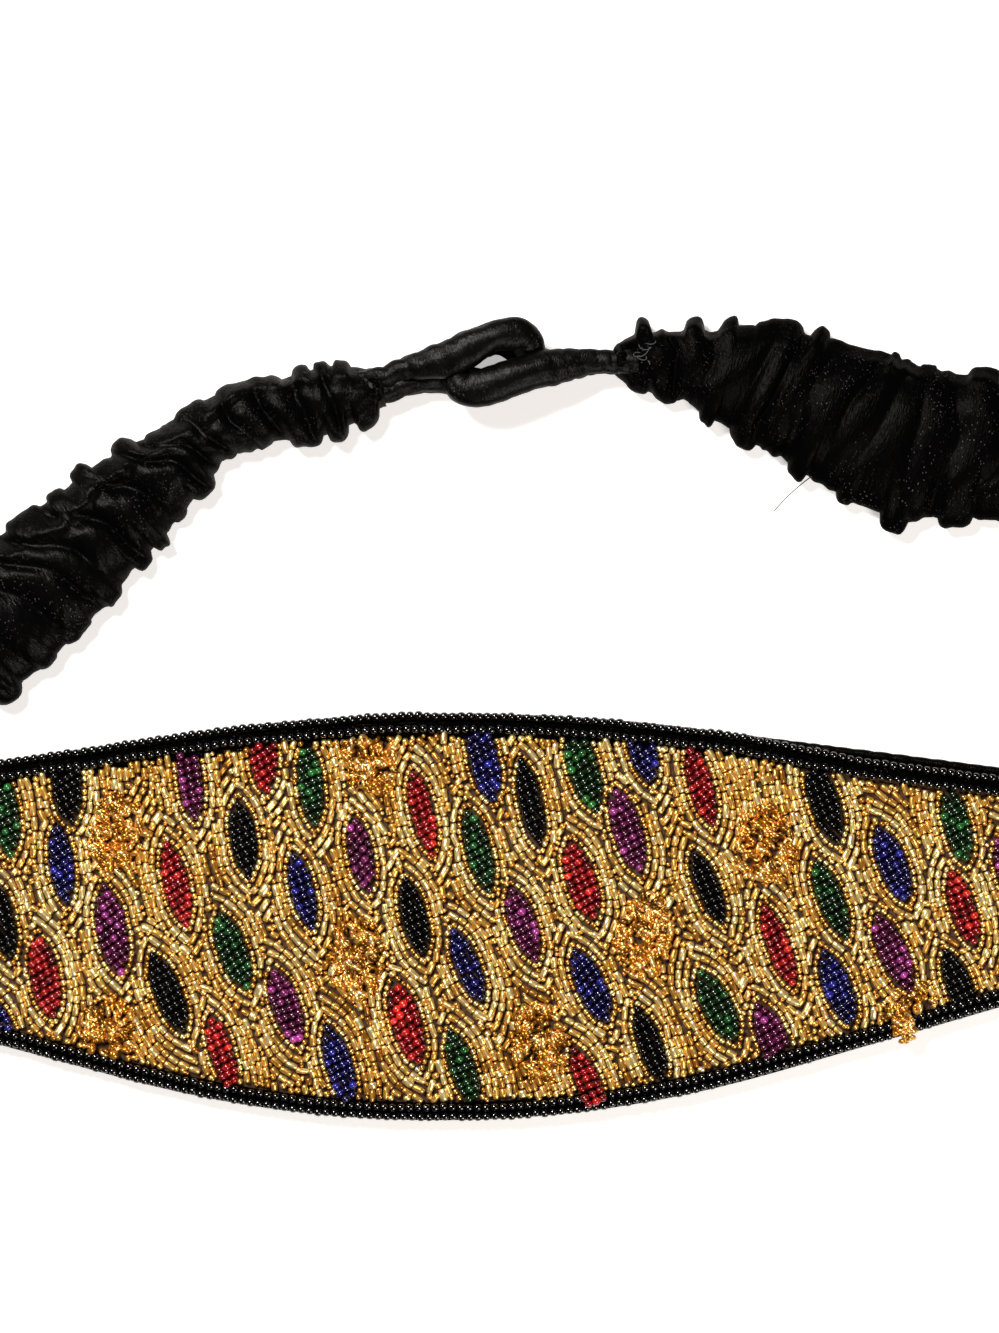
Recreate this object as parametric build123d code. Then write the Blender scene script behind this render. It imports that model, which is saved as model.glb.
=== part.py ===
from build123d import *
from math import atan2, cos, degrees, radians, sin, tan
import os

# Beaded headband lying flat, front face up. Millimetres.
# X runs along the front panel, +Y towards the back link, +Z up from the table.
# The origin is the middle of the panel's back face.

# ---- front panel: outline ------------------------------------------------------
panel_half_length = 88.5
panel_half_height = 29.1
upper_arc_radius = 265.0
upper_taper_deg = 7.75
lower_arc_radius = 172.0
lower_taper_deg = 15.7

# ---- front panel: layers, from the table up -------------------------------------
lining_thickness = 0.35
interlining_thickness = 1.2
fabric_thickness = 0.3
interlining_inset = 1.2
lower_edge_inset = 0.2
edge_clearance = 0.05

# ---- front panel: edging ---------------------------------------------------------
piping_diameter = 1.3
binding_thickness = 0.3
edge_bead_diameter = 1.2
edge_bead_row_gap = 0.12
edge_bead_end_gap = 1.2
end_binding_width = 5.0
end_binding_wall = 0.5

# ---- front panel: beadwork ---------------------------------------------------------
ground_bead_height = 1.0
outline_bead_height = 1.1
amber_bead_height = 1.2
motif_bead_height = 1.3
motif_length = 11.6
motif_width = 4.3
motif_tilt_deg = 16.0
motif_columns = 10
outline_bead_width = 0.95
amber_length = 11.0
amber_width = 7.5
bead_layer_clearance = 0.05

# ---- straps ------------------------------------------------------------------------
body_clearance = 0.3
sleeve_half_thickness = 3.0
sleeve_wall = 0.8
pleat_pitch = 4.4
pleat_depth = 0.9
pleat_rise = 0.45
elastic_width = 5.0
elastic_thickness = 1.0
seam_width = 21.0
strap_width_left = 21.0
strap_width_right = 22.4
elastic_tip_gap = 6.0

# ---- back link ---------------------------------------------------------------------
link_x = 7.1
link_y = 79.1
link_turn_deg = 12.0
loop_tube_diameter = 3.2
loop_tube_wall = 0.7
loop_cord_clearance = 0.1
loop_half_overlap = 7.0
loop_side_spread = 3.1
loop_height_spread = 2.4
loop_spread_length = 4.2
loop_neck_length = 3.0
neck_strand_gap = 0.16
bight_play = 0.1
tack_length = 1.5
tack_thread = 0.45
tack_clearance = 0.05
tack_offset = 0.4

# ---- seam stitches -------------------------------------------------------------------
stitch_count = 9
stitch_length = 2.2
stitch_diameter = 0.45

# ---- values worked out from those above ----------------------------------------------
fabric_top = lining_thickness + interlining_thickness + fabric_thickness
binding_top = fabric_top + binding_thickness
edge_bead_radius = edge_bead_diameter / 2
upper_edge_inset = piping_diameter + edge_clearance
row_spacing = edge_bead_diameter + edge_bead_row_gap
upper_outer_row = upper_edge_inset + edge_bead_radius
upper_inner_row = upper_outer_row + row_spacing
lower_outer_row = lower_edge_inset + edge_bead_radius
lower_inner_row = lower_outer_row + row_spacing
upper_band = upper_inner_row + edge_bead_radius
lower_band = lower_inner_row + edge_bead_radius
beadwork_half_length = panel_half_length - end_binding_width
motif_column_pitch = beadwork_half_length / motif_columns
loop_tube_radius = loop_tube_diameter / 2
loop_tilt = atan2(loop_height_spread, loop_side_spread)
loop_bight_radius = (loop_side_spread**2 + loop_height_spread**2) ** 0.5
link_z = loop_height_spread + loop_tube_radius
strap_z = sleeve_half_thickness

# Motif middles as (column, millimetres above the panel's middle), laid out by hand in
# slanting columns. Columns are counted from the middle, and a part is a shift to the right.
motif_places = {
    "black": [(-7.55, 0), (-6.45, 19.5), (-4.75, -10.5), (-3.45, 11.5), (-0.55, 0), (1.45, 16),
              (3.45, -18.5), (4.45, 4), (6.45, 16), (8.75, -11), (-9.35, 14)],
    "red": [(-6.85, -8), (-4.6, 5), (-3.85, -19), (-3.1, 23.5), (-0.7, -15), (-0.4, 15),
            (2.3, 5), (2.4, -24), (4.35, 18.5), (5.65, -4.5), (8.8, 0.5), (-8.5, -9)],
    "green": [(-7.5, 15), (-3.65, -4.5), (-2.3, 19), (0.25, -21.5), (0.55, 9.5), (2.35, 21),
              (4.6, -13), (6.55, 2), (8.7, 12.5), (-9.45, -2)],
    "blue": [(-7.6, -16.5), (-6.55, 8), (-2.45, 4), (-1.85, -21), (0.35, -7), (0.65, 22.5),
             (2.45, -10), (3.35, 24), (6.65, -10.5), (7.6, 7), (-8.5, 7)],
    "purple": [(-5.7, -1.5), (-4.35, 20), (-2.75, -12.5), (-1.45, 9), (1.3, -1), (3.1, 12),
               (5.55, -18), (7.6, -5.5), (9.6, 5)],
}
amber_places = [(-5.6, 12), (-5.75, -16), (-1.55, -6), (-1.25, 23), (1.55, -18), (3.35, -3),
                (5.45, 10), (7.9, -15.5)]


def on_panel(places):
    """Places in columns turned into millimetres along the panel."""
    return [(column * motif_column_pitch, height) for column, height in places]


def edge_shape(side):
    """Apex height, arc radius and taper of the upper (+1) or lower (-1) edge."""
    if side > 0:
        return panel_half_height, upper_arc_radius, radians(upper_taper_deg)
    return panel_half_height, lower_arc_radius, radians(lower_taper_deg)


def edge_height(side, inset, x):
    """Height of an edge line at x: an arc in the middle, straight tapers outside it."""
    apex, radius, taper = edge_shape(side)
    radius -= inset
    apex -= inset
    shoulder = radius * sin(taper)
    if abs(x) <= shoulder:
        drop = radius - (radius**2 - x**2) ** 0.5
    else:
        drop = radius * (1 - cos(taper)) + (abs(x) - shoulder) * tan(taper)
    return side * (apex - drop)


def edge_line(side, inset, half_length):
    """Left taper, middle arc and right taper of one edge, moved inwards by inset."""
    apex, radius, taper = edge_shape(side)
    shoulder = (radius - inset) * sin(taper)
    far = edge_height(side, inset, half_length)
    near = edge_height(side, inset, shoulder)
    top = edge_height(side, inset, 0)
    return [
        Line((-half_length, far), (-shoulder, near)),
        ThreePointArc((-shoulder, near), (0, top), (shoulder, near)),
        Line((shoulder, near), (half_length, far)),
    ]


def band_face(side_a, inset_a, side_b, inset_b, half_length):
    """Flat face between two edge lines, closed by upright lines at both ends."""
    first = edge_line(side_a, inset_a, half_length)
    second = edge_line(side_b, inset_b, half_length)
    sides = []
    for x in (-half_length, half_length):
        ends = edge_height(side_a, inset_a, x), edge_height(side_b, inset_b, x)
        sides.append(Line((x, ends[0]), (x, ends[1])))
    return make_face(first + second + sides)


def slab(face, bottom, height):
    """A flat face raised to bottom and thickened upwards by height."""
    return extrude(Pos(0, 0, bottom) * face, amount=height, dir=(0, 0, 1))


def layer(inset, half_length, bottom, height):
    """One sewn layer, inset from the piping above and from the edge below."""
    face = band_face(1, upper_edge_inset + inset, -1, lower_edge_inset + inset, half_length)
    return slab(face, bottom, height)


def spindle(x, y, length, width):
    """Pointed oval made of two arcs, leaning to the left at its top."""
    half_length = length / 2
    half_width = width / 2
    outline = [
        ThreePointArc((0, -half_length), (half_width, 0), (0, half_length)),
        ThreePointArc((0, half_length), (-half_width, 0), (0, -half_length)),
    ]
    return Pos(x, y) * Rot(0, 0, motif_tilt_deg) * make_face(outline)


def together(shapes):
    """Many flat shapes fused into one."""
    return Sketch() + shapes


def raised(shape, height):
    """Flat beadwork raised from the ground fabric; a place cut off by the edging vanishes."""
    return Compound(children=[slab(face, fabric_top, height).solid() for face in shape.faces()])


def beadwork():
    """Gold ground, outline rows, amber patches and coloured motifs, side by side."""
    ground = band_face(
        1, upper_band + bead_layer_clearance, -1, lower_band + bead_layer_clearance,
        beadwork_half_length - bead_layer_clearance,
    )
    ring_length = motif_length + 2 * outline_bead_width
    ring_width = motif_width + 2 * outline_bead_width
    gap = 2 * bead_layer_clearance
    every_place = [place for places in motif_places.values() for place in on_panel(places)]
    holes = together([spindle(x, y, motif_length + gap, motif_width + gap) for x, y in every_place])
    rings = together([spindle(x, y, ring_length, ring_width) for x, y in every_place])
    outers = together([spindle(x, y, ring_length + gap, ring_width + gap) for x, y in every_place])
    patches = together([amber_patch(x, y, 0) for x, y in on_panel(amber_places)])
    patch_holes = together([amber_patch(x, y, gap) for x, y in on_panel(amber_places)])
    motifs = {}
    for colour, places in motif_places.items():
        shapes = together([spindle(x, y, motif_length, motif_width) for x, y in on_panel(places)])
        motifs[colour] = raised(shapes & ground, motif_bead_height)
    outline = raised((rings & ground) - holes, outline_bead_height)
    amber = raised((patches & ground) - outers, amber_bead_height)
    gold = raised(ground - outers - patch_holes, ground_bead_height)
    return gold, outline, amber, motifs


def amber_patch(x, y, gap):
    """Oval patch of coil beads, or the hole that it fills."""
    return Pos(x, y) * Ellipse((amber_width + gap) / 2, (amber_length + gap) / 2)


def edge_tube(side, inset, diameter, middle_height, half_length):
    """Round tube that follows an edge line: a piping, or a row of threaded beads."""
    wire = Pos(0, 0, middle_height) * Wire(edge_line(side, inset, half_length))
    frame = Plane(origin=wire @ 0, z_dir=wire % 0)
    return sweep(frame * Circle(diameter / 2), path=wire)


def bead_row(side, inset):
    """A row of beads strung edge to edge on one thread, lying on the binding."""
    return edge_tube(side, inset, edge_bead_diameter, binding_top + edge_bead_radius,
                     beadwork_half_length - edge_bead_end_gap)


def piping():
    """Round satin piping along the upper edge, outside the sewn layers."""
    return edge_tube(1, piping_diameter / 2, piping_diameter, fabric_top - piping_diameter / 2,
                     beadwork_half_length)


def end_binding(side):
    """Satin strip folded round a panel end, from the back over the end to the front."""
    outer = band_face(1, 0, -1, 0, panel_half_length)
    window = Pos(side * (panel_half_length - end_binding_width / 2), 0) * Rectangle(
        end_binding_width, 2 * panel_half_height)
    inner_x = panel_half_length - (end_binding_width + end_binding_wall) / 2
    inner = Pos(side * inner_x, 0) * Rectangle(
        end_binding_width - end_binding_wall, 2 * panel_half_height)
    body = slab(outer & window, 0, fabric_top + end_binding_wall)
    slot = slab(inner, lining_thickness, interlining_thickness + fabric_thickness)
    return body - slot


def seam_stitches(side):
    """Short thread stitches in a row across an end binding."""
    x = side * (panel_half_length - end_binding_width / 2)
    low = edge_height(-1, upper_edge_inset, x)
    high = edge_height(1, upper_edge_inset, x)
    z = fabric_top + end_binding_wall + stitch_diameter / 2
    stitches = []
    for index in range(stitch_count):
        y = low + (high - low) * (index + 0.5) / stitch_count
        stitches.append(Pos(x, y, z) * Rot(0, 90, 0) * Cylinder(stitch_diameter / 2, stitch_length))
    return Compound(children=stitches)


# ---- strap routes ----------------------------------------------------------------------
seam_y = (edge_height(1, 0, panel_half_length) + edge_height(-1, 0, panel_half_length)) / 2
corner_y = edge_height(1, 0, panel_half_length)
strap_start = panel_half_length + body_clearance
left_turn_radius = 12.4
left_turn_run = 24.5
left_turn_rise = 22.0
left_turn_flare = 3.0
left_corner_gap = 19.5
left_shoulder_in = 20.0
left_knee_back = 37.6
left_knee_drop = 7.8
left_tip_back = 15.6
left_tip_drop = 3.7
left_soft_radius = 26.0
right_turn_radius = 29.2
right_turn_run = 33.4
right_turn_rise = 53.8
right_turn_flare = 4.7
right_shoulder_out = 59.0
right_shoulder_drop = 10.5
right_knee_out = 31.0
right_tip_out = 17.6
right_tip_rise = 0.3
right_soft_radius = 32.0

left_route = [
    (-strap_start, seam_y),
    (-strap_start - left_turn_run, seam_y),
    (-strap_start - left_turn_run - left_turn_flare, seam_y + left_turn_rise),
    (-panel_half_length + left_shoulder_in, corner_y + left_corner_gap),
    (link_x - left_knee_back, link_y - left_knee_drop),
    (link_x - left_tip_back, link_y - left_tip_drop),
]
left_radii = [left_turn_radius, left_turn_radius, left_soft_radius, left_soft_radius]
right_route = [
    (strap_start, seam_y),
    (strap_start + right_turn_run, seam_y),
    (strap_start + right_turn_run + right_turn_flare, seam_y + right_turn_rise),
    (link_x + right_shoulder_out, link_y - right_shoulder_drop),
    (link_x + right_knee_out, link_y + right_tip_rise),
    (link_x + right_tip_out, link_y + right_tip_rise),
]
right_radii = [right_turn_radius, right_turn_radius, right_soft_radius, right_soft_radius]

# Width of a gathered sleeve as a share of its full width, against the distance from its tip.
tip_distance_left = [(0, 0.36), (3, 0.45), (24, 0.48), (36, 0.68), (60, 0.88), (75, 1.0)]
tip_distance_right = [(0, 0.30), (5, 0.48), (13, 0.60), (21, 0.82), (30, 1.0)]


def strap_path(route, radii):
    """Centre line of a strap: straight runs joined by tangent arcs, at strap height."""
    points = [(x, y, strap_z) for x, y in route]
    return Wire(FilletPolyline(*points, radius=radii).edges())


def width_at(profile, distance):
    """Straight-line interpolation in a width profile."""
    for (start, low), (end, high) in zip(profile, profile[1:]):
        if distance <= end:
            return low + (high - low) * (distance - start) / (end - start)
    return profile[-1][1]


def sleeve(path, full_width, profile):
    """Gathered tube: oval rings, alternately crest and valley, joined by straight walls."""
    total = path.length
    count = 2 * round(total / pleat_pitch)
    rings = []
    for index in range(count + 1):
        share = index / count
        crest = index % 2
        from_tip = total * (1 - share)
        half_width = full_width * width_at(profile, from_tip) / 2
        half_width = min(half_width, seam_width / 2 + total * share)
        half_width -= 0 if crest else pleat_depth
        half_height = sleeve_half_thickness - (0 if crest else pleat_rise)
        tangent = path % share
        frame = Plane(origin=path @ share, x_dir=tangent.cross(Vector(0, 0, 1)), z_dir=tangent)
        ring = Ellipse(half_width, half_height)
        ring -= Ellipse(half_width - sleeve_wall, half_height - sleeve_wall)
        rings.append(frame * ring)
    return loft(rings, ruled=True)


def elastic(whole_path):
    """Flat woven elastic along the middle of the sleeve, sewn off short of its tip."""
    path = whole_path.trim(0, 1 - elastic_tip_gap / whole_path.length)
    tangent = path % 0
    frame = Plane(origin=path @ 0, x_dir=tangent.cross(Vector(0, 0, 1)), z_dir=tangent)
    return sweep(frame * Rectangle(elastic_width, elastic_thickness), path=path)


# ---- back link --------------------------------------------------------------------------
def loop_path(side, tip, heading_deg):
    """Rouleau folded into a loop: out of the strap tip, round the bight and back again.

    side is -1 for the left loop and +1 for the right. The two strands lie in a plane tilted
    about the link's long axis, the other way for the other loop, so that they pass through
    each other.
    """
    turn = radians(link_turn_deg)
    along = Vector(cos(turn), sin(turn), 0)
    across = Vector(-sin(turn), cos(turn), 0)
    centre = Vector(link_x, link_y, link_z)
    spread = across * loop_side_spread * -side + Vector(0, 0, loop_height_spread)
    heading = Vector(cos(radians(heading_deg)), sin(radians(heading_deg)), 0)
    neck_side = Vector(0, 0, 1).cross(heading) * cos(loop_tilt) + Vector(0, 0, sin(loop_tilt))
    neck_half = loop_tube_radius + neck_strand_gap / 2
    start = Vector(tip.X, tip.Y, strap_z) + heading * body_clearance
    neck = start + heading * loop_neck_length
    bight = centre + along * -side * (loop_half_overlap - loop_tube_radius)
    throat = centre + along * side * (loop_half_overlap + loop_spread_length / 2)
    points = [
        start + neck_side * neck_half,
        neck + neck_side * neck_half,
        throat + spread,
        bight + spread,
        bight - spread,
        throat - spread,
        neck - neck_side * neck_half,
        start - neck_side * neck_half,
    ]
    bend = loop_bight_radius - bight_play
    soft = loop_tube_diameter
    return Wire(FilletPolyline(*points, radius=[soft, soft, bend, bend, soft, soft]).edges())


def loop_pieces(path):
    """Satin rouleau tube and the filler cord that runs inside it."""
    frame = Plane(origin=path @ 0, z_dir=path % 0)
    inner = loop_tube_radius - loop_tube_wall
    cover = sweep(frame * (Circle(loop_tube_radius) - Circle(inner)), path=path)
    cord = sweep(frame * Circle(inner - loop_cord_clearance), path=path)
    return cover, cord


def loop_tack(path):
    """Oval thread wrap round both strands, just outside the strap's tip."""
    start = path @ 0
    finish = path @ 1
    middle = (start + finish) / 2
    reach = finish - start
    frame = Plane(origin=middle + (path % 0) * tack_offset, x_dir=reach, z_dir=path % 0)
    length = reach.length + loop_tube_diameter + 2 * tack_clearance
    height = loop_tube_diameter + 2 * tack_clearance
    hole = SlotOverall(length, height)
    rim = SlotOverall(length + 2 * tack_thread, height + 2 * tack_thread)
    return extrude(frame * (rim - hole), amount=tack_length, dir=path % 0)


# ---- build every node ---------------------------------------------------------------------
nodes = {}
nodes["lining"] = layer(0, beadwork_half_length, 0, lining_thickness)
nodes["interlining"] = layer(
    interlining_inset, panel_half_length - end_binding_wall, lining_thickness, interlining_thickness)
nodes["ground_fabric"] = layer(
    0, panel_half_length - end_binding_wall, lining_thickness + interlining_thickness, fabric_thickness)

gold, outline, amber, motifs = beadwork()
nodes["gold_bead_ground"] = gold
nodes["gold_outline_beads"] = outline
nodes["amber_coil_beads"] = amber
for colour, group in motifs.items():
    nodes[f"{colour}_motif_beads"] = group

nodes["upper_edge_binding"] = slab(
    band_face(1, upper_edge_inset, 1, upper_band, beadwork_half_length), fabric_top, binding_thickness)
nodes["lower_edge_binding"] = slab(
    band_face(-1, lower_edge_inset, -1, lower_band, beadwork_half_length), fabric_top, binding_thickness)
nodes["upper_edge_piping"] = piping()
nodes["upper_outer_bead_row"] = bead_row(1, upper_outer_row)
nodes["upper_inner_bead_row"] = bead_row(1, upper_inner_row)
nodes["lower_outer_bead_row"] = bead_row(-1, lower_outer_row)
nodes["lower_inner_bead_row"] = bead_row(-1, lower_inner_row)
for name, side in (("left", -1), ("right", 1)):
    nodes[f"{name}_end_binding"] = end_binding(side)
    nodes[f"{name}_seam_stitches"] = seam_stitches(side)

straps = (
    ("left", -1, left_route, left_radii, strap_width_left, tip_distance_left),
    ("right", 1, right_route, right_radii, strap_width_right, tip_distance_right),
)
for name, side, route, radii, full_width, profile in straps:
    path = strap_path(route, radii)
    nodes[f"{name}_ruched_sleeve"] = sleeve(path, full_width, profile)
    nodes[f"{name}_elastic"] = elastic(path)
    tip_heading = path % 1
    heading_deg = degrees(atan2(tip_heading.Y, tip_heading.X))
    rouleau = loop_path(side, path @ 1, heading_deg)
    cover, cord = loop_pieces(rouleau)
    nodes[f"{name}_loop_cover"] = cover
    nodes[f"{name}_loop_cord"] = cord
    nodes[f"{name}_loop_tack"] = loop_tack(rouleau)
    print(name, "strap", round(path.length, 1), "mm, rouleau", round(rouleau.length, 1), "mm")

os.makedirs("parts", exist_ok=True)
for name, shape in nodes.items():
    export_step(shape, f"parts/{name}.step")
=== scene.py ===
from math import cos, pi, radians, sin, tan

import bpy
import numpy as np
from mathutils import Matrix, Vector


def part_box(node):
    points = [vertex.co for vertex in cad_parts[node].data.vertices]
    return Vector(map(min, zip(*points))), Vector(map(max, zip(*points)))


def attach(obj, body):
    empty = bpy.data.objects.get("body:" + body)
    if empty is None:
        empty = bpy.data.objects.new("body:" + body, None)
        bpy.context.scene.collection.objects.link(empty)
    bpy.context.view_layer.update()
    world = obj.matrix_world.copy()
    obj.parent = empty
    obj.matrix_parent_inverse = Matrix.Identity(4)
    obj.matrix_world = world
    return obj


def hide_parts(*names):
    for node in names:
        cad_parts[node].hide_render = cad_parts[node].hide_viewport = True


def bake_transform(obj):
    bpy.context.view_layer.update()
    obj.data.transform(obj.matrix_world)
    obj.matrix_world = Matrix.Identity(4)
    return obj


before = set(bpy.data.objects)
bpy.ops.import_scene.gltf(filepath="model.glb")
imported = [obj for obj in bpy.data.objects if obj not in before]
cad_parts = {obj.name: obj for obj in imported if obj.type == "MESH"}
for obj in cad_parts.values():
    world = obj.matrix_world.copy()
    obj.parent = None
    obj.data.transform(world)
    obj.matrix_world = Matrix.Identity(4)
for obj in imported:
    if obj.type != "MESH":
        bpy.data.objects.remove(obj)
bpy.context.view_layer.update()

bl_info = {
    "name": "Beaded Headband",
    "version": (1, 0, 0),
    "blender": (4, 5, 0),
    "location": "3D View > Sidebar > Headband",
    "description": "Dresses the packed headband in beads, gathered satin and thread",
    "category": "Add Mesh",
}

MM = 0.001


# ---- values a user would change ---------------------------------------------------------
def length(name, text, millimetres):
    """A length property, given in millimetres and kept in metres."""
    return bpy.props.FloatProperty(
        name=name, description=text, default=millimetres * MM, min=0, precision=5, unit="LENGTH")


def angle(name, text, degrees):
    """An angle property, given in degrees and kept in radians."""
    return bpy.props.FloatProperty(
        name=name, description=text, default=radians(degrees), subtype="ANGLE")


def colour(name, text, value):
    """A colour property without transparency."""
    return bpy.props.FloatVectorProperty(
        name=name, description=text, default=value, size=3, min=0, max=1, subtype="COLOR")


class PanelSizes(bpy.types.PropertyGroup):
    half_length: length("Half length", "From the panel's middle to its end", 88.5)
    half_height: length("Half height", "From the panel's middle to either apex", 29.1)
    upper_radius: length("Upper radius", "Radius of the upper edge's arc", 265)
    upper_taper: angle("Upper taper", "Slope of the upper edge's straight ends", 7.75)
    lower_radius: length("Lower radius", "Radius of the lower edge's arc", 172)
    lower_taper: angle("Lower taper", "Slope of the lower edge's straight ends", 15.7)
    end_width: length("End strip width", "Satin strip folded round a panel end", 5)
    fabric_top: length("Fabric top", "Height of the cloth that the beads are sewn to", 1.85)
    binding_top: length("Binding top", "Height of the strip under the edge beads", 2.15)
    upper_outer_row: length("Upper outer row", "Edge to the outer row's middle, at mid length", 0.45)
    upper_inner_row: length("Upper inner row", "Edge to the inner row's middle, at mid length", 2.35)
    lower_outer_row: length("Lower outer row", "Edge to the outer row's middle", 0.8)
    lower_inner_row: length("Lower inner row", "Edge to the inner row's middle", 2.12)
    upper_band: length("Upper band", "Width of the upper edging, at mid length", 3.02)
    upper_strip: length("Upper strip", "Edge to the inner side of the upper binding strip", 3.87)
    lower_band: length("Lower band", "Width of the lower edging", 2.72)
    piping: length("Piping", "Diameter of the upper piping", 1.3)


class BeadSizes(bpy.types.PropertyGroup):
    edge_bead: length("Edge bead", "Diameter of the beads along both edges", 1.2)
    motif_bead: length("Motif bead", "Diameter of the coloured seed beads", 1.14)
    outline_bead: length("Outline bead", "Diameter of the pale seeds round a motif", 0.80)
    bugle: length("Bugle", "Diameter of the gold bugle beads", 0.86)
    shortest_bugle: length("Shortest bugle", "Length of the shortest gold bugle", 1.0)
    longest_bugle: length("Longest bugle", "Length of the longest gold bugle", 2.1)
    seed: length("Filling seed", "Diameter of the gold seeds between the rows", 0.95)
    motif_length: length("Motif length", "Length of a coloured spindle", 11.9)
    motif_width: length("Motif width", "Width of a coloured spindle", 4.1)
    motif_tilt: angle("Motif tilt", "Lean of a spindle to the left", 16)
    row_slant: angle("Row slant", "Rise of the bead rows inside a spindle", 30)


class StrapSizes(bpy.types.PropertyGroup):
    thickness: length("Thickness", "Thickness of a gathered sleeve", 5.6)
    fold_height: length("Fold height", "Height of the folds across a sleeve", 1.0)
    frill: length("Frill", "How far the gathered edge stands out", 1.5)
    elastic_width: length("Elastic width", "Width of the elastic inside a sleeve", 5.0)
    elastic_thickness: length("Elastic thickness", "Thickness of that elastic", 1.0)
    strand_width: length("Strand width", "Width of a flattened rouleau strand", 5.3)
    strand_thickness: length("Strand thickness", "Thickness of a rouleau strand", 3.1)
    thread: length("Thread", "Diameter of the sewing thread", 0.22)


class Finishes(bpy.types.PropertyGroup):
    satin: colour("Satin", "Black satin of the straps, loops and edging", (0.0009, 0.0008, 0.0008))
    gold_dark: colour("Deep gold", "Darkest gold beads", (0.40, 0.17, 0.02))
    gold: colour("Gold", "Common gold beads", (0.88, 0.52, 0.12))
    gold_pale: colour("Pale gold", "Lightest gold beads", (1.0, 0.81, 0.37))
    copper: colour("Copper", "Amber coil beads", (0.72, 0.31, 0.035))
    red: colour("Red", "Red glass beads", (0.26, 0.001, 0.003))
    green: colour("Green", "Green glass beads", (0.001, 0.018, 0.0015))
    blue: colour("Blue", "Blue glass beads", (0.002, 0.0012, 0.048))
    purple: colour("Purple", "Purple glass beads", (0.085, 0.003, 0.038))
    black: colour("Black", "Black glass beads", (0.0015, 0.0013, 0.0015))


GROUPS = {
    "headband_panel": PanelSizes,
    "headband_beads": BeadSizes,
    "headband_straps": StrapSizes,
    "headband_finishes": Finishes,
}


def panel():
    return bpy.context.scene.headband_panel


def beads():
    return bpy.context.scene.headband_beads


def straps():
    return bpy.context.scene.headband_straps


def finishes():
    return bpy.context.scene.headband_finishes


# ---- numbers ----------------------------------------------------------------------------
def unit(vectors):
    """Vectors divided by their own lengths."""
    vectors = np.asarray(vectors, float)
    return vectors / np.linalg.norm(vectors, axis=-1, keepdims=True)


def noise(seed, u, v=0.0):
    """Value noise from -1 to 1: random numbers at whole (u, v), eased from one to the next."""
    table = np.random.default_rng(seed).uniform(-1, 1, (128, 128))
    u, v = np.broadcast_arrays(np.asarray(u, float), np.asarray(v, float))
    iu, iv = np.floor(u).astype(int), np.floor(v).astype(int)
    fu, fv = u - iu, v - iv
    fu, fv = fu * fu * (3 - 2 * fu), fv * fv * (3 - 2 * fv)
    near = table[iu % 128, iv % 128] * (1 - fu) + table[(iu + 1) % 128, iv % 128] * fu
    far = table[iu % 128, (iv + 1) % 128] * (1 - fu) + table[(iu + 1) % 128, (iv + 1) % 128] * fu
    return near * (1 - fv) + far * fv


def ease(value, low, high):
    """0 below low, 1 above high, and a smooth step between them."""
    share = np.clip((value - low) / (high - low), 0, 1)
    return share * share * (3 - 2 * share)


def edge_y(side, inset, x):
    """Height of an edge line at x: an arc of radius R in the middle, and beyond its shoulders
    straight lines that fall by the taper's tangent."""
    sizes = panel()
    radius = (sizes.upper_radius if side > 0 else sizes.lower_radius) - inset
    taper = sizes.upper_taper if side > 0 else sizes.lower_taper
    shoulder = radius * sin(taper)
    x = np.abs(x)
    arc = radius - np.sqrt(radius**2 - np.minimum(x, shoulder) ** 2)
    return side * (sizes.half_height - inset - arc - np.maximum(x - shoulder, 0) * tan(taper))


def drift(side, x):
    """How much farther in from the upper edge the hand-sewn rows run towards the panel's ends; the
    lower rows keep their distance."""
    if side < 0:
        return 0 * x
    return (1.25 * ease(x, 40 * MM, 60 * MM) + 0.7 * ease(-x, 58 * MM, 78 * MM)) * MM


def on_strip(points):
    """Extra height of beads that lie over the upper binding strip."""
    sizes = panel()
    inset = edge_y(1, 0, points[:, 0]) - points[:, 1]
    off_strip = ease(inset, sizes.upper_strip - 0.2 * MM, sizes.upper_strip + 0.3 * MM)
    return (sizes.binding_top - sizes.fabric_top) * (1 - off_strip)


def over_edging(points):
    """Extra height of beads that run on over the lower edge rows: a row's own height, 1.1 mm."""
    over = edge_y(-1, panel().lower_band, points[:, 0]) - points[:, 1]
    return 1.1 * MM * ease(over, -1.2 * MM, 0.5 * MM)


def crosswise(along):
    """Flat directions a quarter turn to the left of others."""
    return np.stack([-along[:, 1], along[:, 0]], axis=1)


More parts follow.
